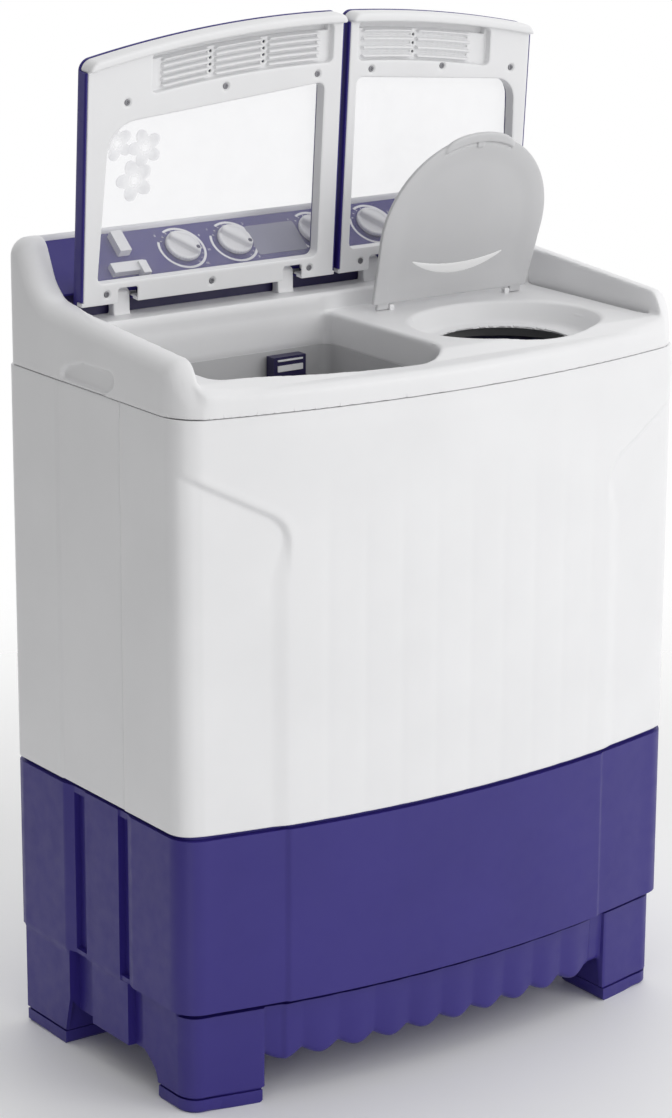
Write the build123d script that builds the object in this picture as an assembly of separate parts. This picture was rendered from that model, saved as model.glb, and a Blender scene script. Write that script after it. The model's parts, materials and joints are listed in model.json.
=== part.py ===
from build123d import *
import math
import os

# Twin tub washer. Millimetres. X to the right seen from the front, Y to the rear, Z up.
# The origin is on the floor, under the middle of the cabinet's outline.
# The lids stand open at rest.

# Cabinet outline
HALF_WIDTH = 350.0
REAR_Y = 203.5
FRONT_Y = -203.5
FRONT_BOW = 47.0
FRONT_RADIUS = (HALF_WIDTH**2 + FRONT_BOW**2) / (2 * FRONT_BOW)
FRONT_CORNER = 38.0
REAR_CORNER = 18.0

# Levels
PAD_TOP = 19.0
FLOOR_TOP = 62.0
SKIRT_EDGE = 45.0
SKIRT_TOP = 122.0
BASE_TOP = 333.0
COVER_SEAM = 802.0
COVER_TOP = 948.0
RIM_TOP = 830.0
PLATFORM = 838.0
DECK = 856.0

# Wall thicknesses and insets
BASE_WALL = 5.0
CABINET_WALL = 4.0
COVER_WALL = 4.0
TUB_WALL = 3.0
SKIRT_INSET = 9.0
SIDE_SEAM_Y = -37.5

# Corner feet: inner side, and how far back or forward each reaches
FOOT_INNER = 250.0
FRONT_FOOT_END = -75.5
REAR_FOOT_END = 110.5

# Dark grooves in the base's sides: from, to, and the levels between which they run
SIDE_GROOVES = ((52.5, 76.5), (-37.5, -19.5))
GROOVE_Z = (128.0, 320.0)
GROOVE_DEPTH = 3.5

# Drain pocket with its spigot, and cord gland
POCKET_X = (-255.0, -175.0)
POCKET_Z = (130.0, 205.0)
POCKET_DEPTH = 34.0
SPIGOT_X = sum(POCKET_X) / 2
SPIGOT_Z = sum(POCKET_Z) / 2
SPIGOT_RADIUS = 15.0
SPIGOT_BORE = 11.0
SPIGOT_COLLAR = 17.0
GLAND_X = 250.0
GLAND_Z = 230.0
GLAND_RADIUS = 9.0
GLAND_FLANGE = 13.0
GLAND_BORE = 4.0

# Crease across the front: X and Z from its foot to the corner
CREASE = [(224, 655), (231, 678), (248, 692), (293, 713), (326, 733), (342, 742)]
CREASE_SET_BACK = 2.5

# Service plate in the back
COVER_PLATE_X = 210.0
COVER_PLATE_Z = (360.0, 760.0)
PLATE_THICK = 2.0
PLATE_SCREWS = [(x, z) for x in (-200.0, 0.0, 200.0) for z in (370.0, 750.0)]

# Water inlet tail in its pocket
INLET_X = 262.0
INLET_Z = 892.0
INLET_RADIUS = 13.2
INLET_COLLAR = 15.5
INLET_POCKET_HALF = 26.0
INLET_DEPTH = 24.0

# Top cover
WING_INNER = 315.0
DECK_FRONT = 87.0
PANEL_FOOT = (131.5, 888.0)
PANEL_HEAD = (191.5, 938.0)
PANEL_THICK = 3.0
PANEL_RUN = PANEL_HEAD[0] - PANEL_FOOT[0]
PANEL_RISE = PANEL_HEAD[1] - PANEL_FOOT[1]
PANEL_LENGTH = math.hypot(PANEL_RUN, PANEL_RISE)
PANEL_TILT = math.degrees(math.atan2(PANEL_RISE, PANEL_RUN))

# Wash tub
WASH_LEFT = -290.0
WASH_RIGHT = 15.0
WASH_RIM_WIDTH = 33.0
PLATFORM_INSET = 58.0
WASH_FRONT_CORNER = 60.0
WASH_CORNER = 12.0
TUB_FLOOR = 389.0
TUB_SEAM = 800.0
PULSATOR_X = (WASH_LEFT + WASH_RIGHT) / 2
PULSATOR_Y = -38.0

# Spin tub
SPIN_X = 160.0
SPIN_Y = -66.0
SPIN_TUB_RADIUS = 118.0
SPIN_TUB_TOP = 816.0
BASKET_RADIUS = 104.0
MOUTH_RADIUS = 78.0
DISH_HALF_X = 115.0
DISH_HALF_Y = 95.0

# Lids, in a frame that stands on the lid's foot edge: X, then thickness W to the rear, then V up
LID_FOOT_Y = 103.5
LID_FOOT_Z = 876.0
LID_LEAN = 4.0
LID_LENGTH = 309.0
LID_BOW = 34.0
LID_HALF_SPAN = 312.0
LID_THICK = 21.0
LID_SKIN = 2.5
LID_LIP = 8.0
LIP_WIDTH = 7.5
GLASS_FRONT = 15.5
GLASS_BACK = 18.5
HINGE_W = 19.7
HINGE_V = 5.4
KNUCKLE_RADIUS = 6.0
KNUCKLE_WIDTH = 9.0
PIN_RADIUS = 2.5
RUNNING = 0.05
NOTCH_HALF = 13.0
NOTCH_HEIGHT = 17.5
POST_HALF = 11.0
WASH_LID_X = (-308.0, 38.0)
SPIN_LID_X = (44.0, 312.0)
WASH_POSTS = (-247.0, -22.0)
SPIN_POSTS = (101.0, 268.0)
WASH_WINDOW = [(-288.0, 25.0), (12.0, 25.0), (12.0, 230.0), (-277.0, 204.0)]
SPIN_WINDOW = [(58.0, 28.0), (296.0, 28.0), (290.0, 212.0), (58.0, 232.0)]
WASH_SCREWS = [(-254, 228), (-124, 236), (2, 240), (-275, 12), (-134, 12), (2, 12)]
SPIN_SCREWS = [(78, 240), (181, 236), (284, 226), (76, 12), (184, 12), (290, 12)]
LOUVRE_ROWS = 3
LOUVRE_PITCH = 9.0
LOUVRE_HEIGHT = 4.0

# Safety lid over the spin basket
SAFETY_Y = 53.0
SAFETY_Z = 841.0
SAFETY_LEAN = 16.0
SAFETY_X = 168.0
SAFETY_HALF = 2.5
SAFETY_ROUND = 118.0
SAFETY_CENTRE_V = 92.0
SAFETY_PIN_RADIUS = 2.0
SAFETY_LUGS = ((79.0, 86.0), (250.0, 257.0))
SAFETY_KNUCKLES = ((62.0, 78.0), (258.0, 274.0))
SAFETY_PINS = ((77.0, 86.0), (250.0, 259.0))

# Dials: place along the panel and down from its top edge
DIAL_DROP = 34.0
DIALS = {
    "wash_timer": -134.0,
    "wash_selector": -62.0,
    "drain_selector": 53.0,
    "spin_timer": 138.0,
}
DIAL_STEM = 4.0
KNOB_HEIGHT = 20.0
KNOB_RADIUS = 22.0
STEM_DEPTH = 24.0
KNOB_SKIRT = 10.0
GRIP_LENGTH = 40.0
GRIP_WIDTH = 10.0

# Switches behind the dials: width, height, depth
TIMER_SIZE = (50.0, 38.0, 20.0)
SELECTOR_SIZE = (34.0, 30.0, 16.0)

# Drives
GEARBOX_RADIUS = 58.0
WASH_MOTOR_X = PULSATOR_X - 124.0
PULLEY_RADIUS = 70.0
PULLEY_ROOT = 63.0
MOTOR_PULLEY_RADIUS = 25.0
MOTOR_PULLEY_ROOT = 19.0
BELT_BOTTOM = 286.0
BELT_TOP = 294.0
BRAKE_RADIUS = 44.0
BRAKE_GAP = 0.8
BRAKE_PIVOT = (SPIN_X - 47.0, SPIN_Y + 57.0)

# Drain
VALVE_X = -12.0
VALVE_Y = 56.0
VALVE_RADIUS = 24.0
VALVE_SEAT = 12.0
VALVE_BOTTOM = 325.0
DUCT_X = 72.0
DUCT_Y = -20.0
DUCT_Z = 350.0
DUCT_RADIUS = 11.0
DUCT_BORE = 8.5


# Building helpers


def block(x0, x1, y0, y1, z0, z1):
    """Box between two opposite corners."""
    centre = Pos((x0 + x1) / 2, (y0 + y1) / 2, (z0 + z1) / 2)
    return centre * Box(x1 - x0, y1 - y0, z1 - z0)


def rod(x, y, z0, z1, radius):
    """Upright cylinder."""
    return Pos(x, y, (z0 + z1) / 2) * Cylinder(radius, z1 - z0)


def tube(x, y, z0, z1, outer, inner):
    """Upright pipe."""
    return rod(x, y, z0, z1, outer) - rod(x, y, z0 - 1, z1 + 1, inner)


def rod_along_y(x, z, y0, y1, radius):
    """Cylinder that points to the rear."""
    return Pos(x, (y0 + y1) / 2, z) * Rot(90, 0, 0) * Cylinder(radius, y1 - y0)


def rod_along_x(y, z, x0, x1, radius):
    """Cylinder that points to the right."""
    return Pos((x0 + x1) / 2, y, z) * Rot(0, 90, 0) * Cylinder(radius, x1 - x0)


def prism(face, z0, z1):
    """Plan outline raised between two levels."""
    return extrude(Pos(0, 0, z0) * face, amount=z1 - z0)


def side_prism(face, x0, x1):
    """Outline drawn in Y and Z, carried along X."""
    return extrude(Plane.YZ.offset(x0) * face, amount=x1 - x0)


def upright_slab(face, w0, w1):
    """Outline drawn in X and V, carried along the thickness W."""
    return extrude(Plane.XZ.offset(-w1) * face, amount=w1 - w0)


def polygon(points):
    """Face with straight sides."""
    return make_face(Polyline(*points, close=True))


def round_corner(face, point, radius):
    """Face with its corner nearest to a point rounded."""
    corner = min(face.vertices(), key=lambda v: (v.X - point[0]) ** 2 + (v.Y - point[1]) ** 2)
    return fillet(corner, radius)


def front_line(x, inset):
    """Y of the bowed front at X, set back by inset."""
    radius = FRONT_RADIUS - inset
    return FRONT_Y + FRONT_RADIUS - math.sqrt(radius**2 - x**2)


def plan(x0, x1, rear, inset, radii):
    """Plan outline with a bowed front; radii go front left, front right, rear right, rear left."""
    front_left = (x0, front_line(x0, inset))
    front_right = (x1, front_line(x1, inset))
    middle = ((x0 + x1) / 2, front_line((x0 + x1) / 2, inset))
    outline = Curve() + [
        Line(front_left, (x0, rear)),
        Line((x0, rear), (x1, rear)),
        Line((x1, rear), front_right),
        ThreePointArc(front_right, middle, front_left),
    ]
    face = make_face(outline)
    for corner, radius in zip([front_left, front_right, (x1, rear), (x0, rear)], radii):
        face = round_corner(face, corner, radius)
    return face


def cabinet_plan(inset):
    """The cabinet's own outline, set in all round."""
    half = HALF_WIDTH - inset
    front = max(FRONT_CORNER - inset, 2.0)
    rear = max(REAR_CORNER - inset, 2.0)
    return plan(-half, half, REAR_Y - inset, inset, [front, front, rear, rear])


def wash_plan(grow):
    """The wash tub's outline, larger all round by grow."""
    radii = [
        WASH_CORNER + grow,
        WASH_FRONT_CORNER + grow,
        WASH_CORNER + grow,
        WASH_CORNER + grow,
    ]
    inset = WASH_RIM_WIDTH - grow
    return plan(WASH_LEFT - grow, WASH_RIGHT + grow, DECK_FRONT + grow, inset, radii)


def hull_of_circles(x_a, r_a, x_b, r_b, y):
    """Outline of a belt run round two circles in line along X."""
    tilt = math.acos((r_b - r_a) / (x_b - x_a))
    a = (x_a - r_a * math.cos(tilt), r_a * math.sin(tilt))
    b = (x_b - r_b * math.cos(tilt), r_b * math.sin(tilt))
    outline = Curve() + [
        Line((a[0], y + a[1]), (b[0], y + b[1])),
        ThreePointArc((b[0], y + b[1]), (x_b + r_b, y), (b[0], y - b[1])),
        Line((b[0], y - b[1]), (a[0], y - a[1])),
        ThreePointArc((a[0], y - a[1]), (x_a - r_a, y), (a[0], y + a[1])),
    ]
    return make_face(outline)


PANEL_PLACE = Pos(0, *PANEL_FOOT) * Rot(PANEL_TILT, 0, 0)
LID_PLACE = Pos(0, LID_FOOT_Y, LID_FOOT_Z) * Rot(LID_LEAN, 0, 0)
SAFETY_PLACE = Pos(0, SAFETY_Y, SAFETY_Z) * Rot(SAFETY_LEAN, 0, 0)


def on_panel(y_along, z_out):
    """Y and Z of a point given up the control panel's slope and out of it."""
    tilt = math.radians(PANEL_TILT)
    y = PANEL_FOOT[0] + y_along * math.cos(tilt) - z_out * math.sin(tilt)
    z = PANEL_FOOT[1] + y_along * math.sin(tilt) + z_out * math.cos(tilt)
    return (y, z)


def lid_axis():
    """Y and Z of the lids' hinge axis."""
    lean = math.radians(LID_LEAN)
    y = LID_FOOT_Y + HINGE_W * math.cos(lean) - HINGE_V * math.sin(lean)
    z = LID_FOOT_Z + HINGE_W * math.sin(lean) + HINGE_V * math.cos(lean)
    return (y, z)


# Base and cabinet

def foot_corners(inset, z0, z1):
    """The four corner feet between two levels, set in from the cabinet's outline."""
    outline = prism(cabinet_plan(inset), z0, z1)
    feet = []
    for side in (-1, 1):
        x0, x1 = sorted((side * FOOT_INNER, side * HALF_WIDTH))
        feet.append(outline & block(x0, x1, FRONT_Y, FRONT_FOOT_END, z0, z1))
        feet.append(outline & block(x0, x1, REAR_FOOT_END, REAR_Y, z0, z1))
    return feet


def base():
    """Moulded base: skirt, stepped lower skirt, vented floor, corner feet and the drain pocket."""
    skirt = prism(cabinet_plan(0), SKIRT_TOP, BASE_TOP)
    lower = prism(cabinet_plan(SKIRT_INSET), SKIRT_EDGE, SKIRT_TOP)
    body = skirt + lower
    body -= prism(cabinet_plan(BASE_WALL), SKIRT_TOP + BASE_WALL, BASE_TOP + 1)
    body -= prism(cabinet_plan(SKIRT_INSET + BASE_WALL), FLOOR_TOP, BASE_TOP)
    body -= prism(cabinet_plan(SKIRT_INSET + BASE_WALL), SKIRT_EDGE - 1, FLOOR_TOP - 4)
    for foot in foot_corners(SKIRT_INSET, PAD_TOP, FLOOR_TOP - 2):
        body += foot
    for side in (-1, 1):
        x0, x1 = sorted((side * HALF_WIDTH, side * (HALF_WIDTH - GROOVE_DEPTH)))
        for y0, y1 in SIDE_GROOVES:
            body -= block(x0, x1, y0, y1, *GROOVE_Z)
    for x in (-60.0, 60.0):
        body -= block(x - 45, x + 45, 60, 120, FLOOR_TOP - 5, FLOOR_TOP + 1)
    x0, x1 = POCKET_X
    z0, z1 = POCKET_Z
    floor_y = REAR_Y - POCKET_DEPTH
    body += block(x0 - 3, x1 + 3, floor_y - 3, REAR_Y - 2, z0 - 3, z1 + 3)
    body -= block(x0, x1, floor_y, REAR_Y + 1, z0, z1)
    body -= rod_along_y(SPIGOT_X, SPIGOT_Z, floor_y - 5, floor_y + 1, SPIGOT_COLLAR)
    body -= rod_along_y(GLAND_X, GLAND_Z, REAR_Y - 10, REAR_Y + 1, GLAND_RADIUS)
    return body


def foot_pads():
    """Four caps that the corner feet stand in."""
    pads = foot_corners(SKIRT_INSET + 1, 0, PAD_TOP)
    return Compound(children=[pad.solid() for pad in pads])


def cabinet_wall():
    """The upright cabinet wall all round, before it is split into front and rear."""
    outer = prism(cabinet_plan(0), BASE_TOP, COVER_SEAM)
    return outer - prism(cabinet_plan(CABINET_WALL), BASE_TOP - 1, COVER_SEAM + 1)


def cabinet_shell():
    """Rear part of the cabinet: both sides and the back, with the service opening."""
    wall = cabinet_wall()
    rear = wall & block(-HALF_WIDTH, HALF_WIDTH, SIDE_SEAM_Y, REAR_Y, BASE_TOP, COVER_SEAM)
    z0, z1 = COVER_PLATE_Z
    rear -= block(-COVER_PLATE_X, COVER_PLATE_X, REAR_Y - PLATE_THICK, REAR_Y + 1, z0, z1)
    ledge = 20.0
    hole = COVER_PLATE_X - ledge
    rear -= block(-hole, hole, REAR_Y - 10, REAR_Y, z0 + ledge, z1 - ledge)
    for x, z in PLATE_SCREWS:
        rear -= rod_along_y(x, z, REAR_Y - 10, REAR_Y, 1.6)
    return rear


def front_panel():
    """Bowed front that wraps round to the side seams; its wings are set back below a crease."""
    wall = cabinet_wall()
    front = wall & block(-HALF_WIDTH, HALF_WIDTH, FRONT_Y, SIDE_SEAM_Y, BASE_TOP, COVER_SEAM)
    foot_x = CREASE[0][0]
    corner_x = CREASE[-1][0]
    for side in (-1, 1):
        plan_cut = polygon(
            [
                (side * foot_x, FRONT_Y - 5),
                (side * foot_x, front_line(foot_x, 0) + CREASE_SET_BACK),
                (side * corner_x, front_line(corner_x, 0)),
                (side * corner_x, FRONT_Y - 5),
            ]
        )
        crease = [(side * x, z) for x, z in CREASE]
        up_cut = polygon([(side * foot_x, BASE_TOP)] + crease + [(side * corner_x, BASE_TOP)])
        pocket = prism(plan_cut, BASE_TOP, COVER_SEAM)
        front -= pocket & upright_slab(up_cut, FRONT_Y - 5, SIDE_SEAM_Y)
    return front


def rear_cover():
    """Flat service plate set flush in the back."""
    z0, z1 = COVER_PLATE_Z
    gap = 0.5
    half = COVER_PLATE_X - gap
    plate = block(-half, half, REAR_Y - PLATE_THICK, REAR_Y, z0 + gap, z1 - gap)
    for x, z in PLATE_SCREWS:
        plate -= rod_along_y(x, z, REAR_Y - 10, REAR_Y + 1, 2.2)
        plate -= rod_along_y(x, z, REAR_Y - 1, REAR_Y + 1, 4.2)
    for row in range(7):
        z = 470.0 + 14 * row
        plate -= block(-60, 60, REAR_Y - 5, REAR_Y + 1, z, z + 5)
    return plate


def rear_cover_screws():
    """Screws of the service plate, heads sunk in it."""
    screws = []
    for x, z in PLATE_SCREWS:
        head = rod_along_y(x, z, REAR_Y - 1, REAR_Y, 4.0)
        shank = rod_along_y(x, z, REAR_Y - 14, REAR_Y - 1, 1.6)
        screws.append((head + shank).solid())
    return Compound(children=screws)


def wing_profile(inset):
    """Side view of the top cover, set in all round."""
    points = [
        (REAR_Y, COVER_SEAM),
        (REAR_Y, COVER_TOP),
        (166.0, COVER_TOP),
        (136.0, 879.0),
        (-118.0, 849.0),
        (-146.0, RIM_TOP),
        (FRONT_Y, RIM_TOP),
        (FRONT_Y, COVER_SEAM),
    ]
    face = polygon(points)
    for index, radius in ((1, 22.0), (2, 18.0), (3, 45.0), (4, 40.0), (5, 12.0)):
        face = round_corner(face, points[index], radius)
    return offset(face, amount=-inset) if inset else face


def panel_back():
    """Back face of the control panel in side view: where it turns to the slope, and its head."""
    slope_foot = on_panel(0, -PANEL_THICK)
    turn_y = PANEL_FOOT[0] + PANEL_THICK
    turn_z = slope_foot[1] + (turn_y - slope_foot[0]) * PANEL_RISE / PANEL_RUN
    return (turn_y, turn_z), on_panel(PANEL_LENGTH, -PANEL_THICK)


def recess_profile():
    """Side view of what is open between the wings, above rim, platform, deck and slope."""
    turn, head = panel_back()
    return polygon(
        [
            (FRONT_Y - 30, RIM_TOP - 2),
            (-168, RIM_TOP + 2),
            (-150, PLATFORM),
            (DECK_FRONT, PLATFORM),
            (DECK_FRONT, DECK),
            (turn[0], DECK),
            turn,
            head,
            (head[0], COVER_TOP + 20),
            (FRONT_Y - 30, COVER_TOP + 20),
        ]
    )


def under_slope_profile():
    """Side view of the hollow under the deck and the control panel's slope."""
    depth = -PANEL_THICK - COVER_WALL
    step_y = PANEL_FOOT[0] + PANEL_THICK + COVER_WALL
    tilt = math.radians(PANEL_TILT)
    foot_along = (step_y - on_panel(0, depth)[0]) / math.cos(tilt)
    inner = DECK_FRONT + COVER_WALL
    rear = REAR_Y - COVER_WALL
    return polygon(
        [
            (inner, COVER_SEAM - 1),
            (inner, DECK - COVER_WALL),
            (step_y, DECK - COVER_WALL),
            on_panel(foot_along, depth),
            on_panel(PANEL_LENGTH - COVER_WALL, depth),
            (rear, on_panel(PANEL_LENGTH - COVER_WALL, depth)[1]),
            (rear, COVER_SEAM - 1),
        ]
    )


def dish_bowl(grow, drop):
    """The shallow oval dish round the spin mouth, larger and deeper by given amounts."""
    top = Pos(SPIN_X, SPIN_Y, PLATFORM + 0.01) * Ellipse(DISH_HALF_X + grow, DISH_HALF_Y + grow)
    low = Pos(SPIN_X, SPIN_Y, PLATFORM - 12 - drop) * Ellipse(90 + grow, 84 + grow)
    return loft([top.face(), low.face()])


def hinge_posts():
    """Posts of the outer lids, rounded round the hinge axis, on the deck."""
    y, z = lid_axis()
    posts = []
    for centre in WASH_POSTS + SPIN_POSTS:
        x0, x1 = centre - POST_HALF, centre + POST_HALF
        post = block(x0, x1, y - KNUCKLE_RADIUS, y + KNUCKLE_RADIUS, DECK - 1, z)
        post += rod_along_x(y, z, x0, x1, KNUCKLE_RADIUS)
        posts.append(post)
    return posts


def safety_lugs():
    """Two ears on the platform that carry the safety lid's pins."""
    lugs = []
    for x0, x1 in SAFETY_LUGS:
        lugs.append(block(x0, x1, SAFETY_Y - 4, SAFETY_Y + 4, PLATFORM - 1, SAFETY_Z + 4))
    return lugs


def cover_hollow():
    """Everything hollow under the top cover."""
    low = prism(cabinet_plan(COVER_WALL), COVER_SEAM - 1, RIM_TOP - 4)
    deep = prism(cabinet_plan(PLATFORM_INSET), COVER_SEAM - 1, PLATFORM - 5)
    boss = prism(wash_plan(TUB_WALL), COVER_SEAM - 1, PLATFORM)
    dish = dish_bowl(COVER_WALL, 4)
    hollow = low + deep - boss - dish
    for side in (-1, 1):
        x0, x1 = sorted((side * (WING_INNER + COVER_WALL), side * (HALF_WIDTH - COVER_WALL)))
        hollow += side_prism(wing_profile(COVER_WALL), x0, x1)
        hollow += block(x0, x1, -100, REAR_Y - COVER_WALL, COVER_SEAM - 1, COVER_SEAM + 8)
    span = WING_INNER + COVER_WALL
    hollow += side_prism(under_slope_profile(), -span, span)
    return hollow & prism(cabinet_plan(COVER_WALL), COVER_SEAM - 1, COVER_TOP)


def hand_hold(side):
    """Solid behind a side hand hold and the scoop to cut out of it."""
    wall = side * HALF_WIDTH
    x0, x1 = sorted((wall - side * 1.0, wall - side * 12.0))
    backing = block(x0, x1, -35, 92, COVER_SEAM, 832)
    x0, x1 = sorted((wall, wall - side * 8.0))
    scoop = block(x0, x1, -31, 88, COVER_SEAM - 1, 827)
    return backing, scoop


def inlet_pocket():
    """Box behind the water inlet's pocket, and the pocket with the tail's hole."""
    floor_y = REAR_Y - INLET_DEPTH
    inner = INLET_POCKET_HALF
    outer = inner + 3
    place = Pos(INLET_X, 0, INLET_Z)
    box = place * block(-outer, outer, floor_y - 3, REAR_Y - 2, -outer, outer)
    pocket = place * block(-inner, inner, floor_y, REAR_Y + 1, -inner, inner)
    pocket += rod_along_y(INLET_X, INLET_Z, floor_y - 10, floor_y + 1, INLET_COLLAR)
    return box, pocket


def top_cover():
    """One moulding: rim, wings, platform, deck, slope, posts and both mouths."""
    body = prism(cabinet_plan(0), COVER_SEAM, COVER_TOP)
    body &= side_prism(wing_profile(0), -HALF_WIDTH, HALF_WIDTH)
    body -= side_prism(recess_profile(), -WING_INNER, WING_INNER)
    body -= cover_hollow()
    body += prism(wash_plan(TUB_WALL), TUB_SEAM, RIM_TOP)
    body -= prism(wash_plan(0), TUB_SEAM - 1, COVER_TOP)
    body += tube(SPIN_X, SPIN_Y, SPIN_TUB_TOP, PLATFORM - 5, SPIN_TUB_RADIUS, SPIN_TUB_RADIUS - 3)
    body += tube(SPIN_X, SPIN_Y, COVER_SEAM, PLATFORM - 12, MOUTH_RADIUS + 3, MOUTH_RADIUS)
    body -= dish_bowl(0, 0)
    body -= rod(SPIN_X, SPIN_Y, COVER_SEAM - 1, COVER_TOP, MOUTH_RADIUS)
    for piece in hinge_posts() + safety_lugs():
        body += piece
    y, z = lid_axis()
    for centre in WASH_POSTS + SPIN_POSTS:
        body -= rod_along_x(y, z, centre - 15, centre + 15, PIN_RADIUS + RUNNING)
    for x0, x1 in SAFETY_LUGS:
        body -= rod_along_x(SAFETY_Y, SAFETY_Z, x0 - 1, x1 + 1, SAFETY_PIN_RADIUS + RUNNING)
    for side in (-1, 1):
        backing, scoop = hand_hold(side)
        body += backing & prism(cabinet_plan(0), COVER_SEAM, 832)
        body -= scoop
    box, pocket = inlet_pocket()
    body += box
    body -= pocket
    for x in DIALS.values():
        hole = Pos(x, PANEL_LENGTH - DIAL_DROP, -5) * Cylinder(DIAL_STEM + 1.5, 30)
        body -= PANEL_PLACE * hole
    return body


def control_panel():
    """Sloped fascia with a lower lip down to the deck."""
    turn, head = panel_back()
    foot = (PANEL_FOOT[0], DECK)
    profile = polygon([foot, PANEL_FOOT, PANEL_HEAD, head, turn, (turn[0], DECK)])
    side_gap = 0.3
    panel = side_prism(profile, -WING_INNER + side_gap, WING_INNER - side_gap)
    for x in DIALS.values():
        hole = Pos(x, PANEL_LENGTH - DIAL_DROP, 0) * Cylinder(DIAL_STEM + 0.5, 20)
        panel -= PANEL_PLACE * hole
    return panel


def knob(x):
    """Dial knob with a raised grip bar and its own stem."""
    grip_height = KNOB_HEIGHT - KNOB_SKIRT - 1
    body = rod(0, 0, 1, 1 + KNOB_SKIRT, KNOB_RADIUS)
    body += Pos(0, 0, KNOB_HEIGHT - grip_height / 2) * Rot(0, 0, -45) * Box(
        GRIP_LENGTH, GRIP_WIDTH, grip_height + 1
    )
    body += Pos(0, 0, (KNOB_HEIGHT / 2 - STEM_DEPTH) / 2) * Cylinder(DIAL_STEM, STEM_DEPTH + 5)
    return PANEL_PLACE * Pos(x, PANEL_LENGTH - DIAL_DROP, 0) * body


def switch_body(x, width, height, depth):
    """Timer or selector switch behind the slope, with the bore that the knob's stem turns in."""
    back = -PANEL_THICK - COVER_WALL
    body = Pos(0, 0, back - depth / 2) * Box(width, height, depth)
    body -= Pos(0, 0, back - depth / 2) * Cylinder(DIAL_STEM + RUNNING, depth + 2)
    return PANEL_PLACE * Pos(x, PANEL_LENGTH - DIAL_DROP, 0) * body


def inlet_selector():
    """Small sliding tab that sends the water to one tub or the other."""
    body = Pos(0, 0, 5 + RUNNING) * Box(15, 30, 10)
    return PANEL_PLACE * Pos(-214, PANEL_LENGTH - 20, 0) * body


def inlet_spout():
    """Elbow that pours into the wash tub."""
    body = Pos(0, 0, 4) * Box(44, 14, 8)
    body += Pos(17, -6, 6) * Box(10, 18, 12)
    return PANEL_PLACE * Pos(-220, 22, 0) * body


def water_inlet():
    """Threaded tail for the supply hose, in the pocket at the back."""
    floor_y = REAR_Y - INLET_DEPTH
    body = rod_along_y(INLET_X, INLET_Z, floor_y, REAR_Y - 1.5, INLET_RADIUS)
    body += rod_along_y(INLET_X, INLET_Z, floor_y - 3, floor_y, INLET_COLLAR)
    body += rod_along_y(INLET_X, INLET_Z, floor_y - 7, floor_y - 3, INLET_COLLAR + 2)
    return body - rod_along_y(INLET_X, INLET_Z, floor_y - 4, REAR_Y, 9.0)


# Wash side


def wash_tub():
    """Deep open tub with an outward flange under the top cover's collar."""
    body = prism(wash_plan(TUB_WALL), TUB_FLOOR, TUB_SEAM)
    body -= prism(wash_plan(0), TUB_FLOOR + 4, TUB_SEAM + 1)
    flange = prism(wash_plan(TUB_WALL + 5), TUB_SEAM - 4, TUB_SEAM)
    body += flange - prism(wash_plan(0), TUB_SEAM - 5, TUB_SEAM + 1)
    body -= rod(PULSATOR_X, PULSATOR_Y, TUB_FLOOR - 1, TUB_FLOOR + 5, 14.0)
    body -= rod(VALVE_X, VALVE_Y, TUB_FLOOR - 1, TUB_FLOOR + 5, VALVE_SEAT)
    return body


def filter_housing():
    """Guide channel on the tub's rear wall, with the overflow grille beside it."""
    rear = DECK_FRONT
    body = block(-78, -22, rear - 24, rear, 640, 770)
    body -= block(-73, -27, rear - 20, rear - 3, 643, 771)
    body -= block(-66, -34, rear - 25, rear - 19, 655, 771)
    return body


def lint_filter():
    """Lint filter with a light grip across its head; it lifts out of its channel."""
    rear = DECK_FRONT
    body = block(-72.5, -27.5, rear - 19, rear - 4, 643, 796)
    body -= block(-69, -31, rear - 16, rear - 7, 655, 780)
    for row in range(6):
        z = 664.0 + 15 * row
        body -= block(-60, -40, rear - 20, rear - 15, z, z + 7)
    return body


def pulsator():
    """Ribbed disc with a central dome."""
    body = rod(0, 0, 397, 405, 96)
    body += rod(0, 0, 405, 422, 30)
    for step in range(6):
        body += Rot(0, 0, 60 * step) * block(24, 92, -7, 7, 404, 418)
    body -= rod(0, 0, 396, 416, 6)
    body -= rod(0, 0, 415, 425, 3)
    return Pos(PULSATOR_X, PULSATOR_Y, 0) * body


def pulsator_screw():
    """Screw that holds the pulsator on its shaft."""
    body = rod(0, 0, 422, 425, 6) + rod(0, 0, 416, 422, 3)
    return Pos(PULSATOR_X, PULSATOR_Y, 0) * body


def pulsator_shaft():
    """Output shaft of the gearbox."""
    return rod(PULSATOR_X, PULSATOR_Y, 335, 416, 6)


def pulsator_seal():
    """Lip seal of the output shaft in the tub's floor."""
    seal = tube(0, 0, 386, 396, 14, 6 + RUNNING)
    return Pos(PULSATOR_X, PULSATOR_Y, 0) * seal


def gearbox():
    """Reduction gearbox under the tub: a finned can with two aligned bores."""
    body = rod(0, 0, 304, 386, GEARBOX_RADIUS)
    body -= rod(0, 0, 312, 378, GEARBOX_RADIUS - 6)
    body -= rod(0, 0, 300, 390, 6 + RUNNING)
    for level in range(4):
        body += tube(0, 0, 320 + 14 * level, 324 + 14 * level, GEARBOX_RADIUS + 3, GEARBOX_RADIUS - 1)
    return Pos(PULSATOR_X, PULSATOR_Y, 0) * body


def pulley(x, radius, root, shaft):
    """Grooved belt wheel."""
    body = rod(x, PULSATOR_Y, BELT_BOTTOM - 3, BELT_TOP + 3, radius)
    body -= tube(x, PULSATOR_Y, BELT_BOTTOM, BELT_TOP, radius + 1, root)
    return body - rod(x, PULSATOR_Y, BELT_BOTTOM - 4, BELT_TOP + 4, shaft)


def gearbox_pulley():
    """Large pulley with lightening holes, cast with the gearbox's input shaft."""
    body = pulley(PULSATOR_X, PULLEY_RADIUS, PULLEY_ROOT, 6.0)
    for step in range(6):
        angle = math.radians(60 * step)
        x = PULSATOR_X + 38 * math.cos(angle)
        y = PULSATOR_Y + 38 * math.sin(angle)
        body -= rod(x, y, BELT_BOTTOM - 4, BELT_TOP + 4, 12)
    return body + rod(PULSATOR_X, PULSATOR_Y, 276, 330, 6)


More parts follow.
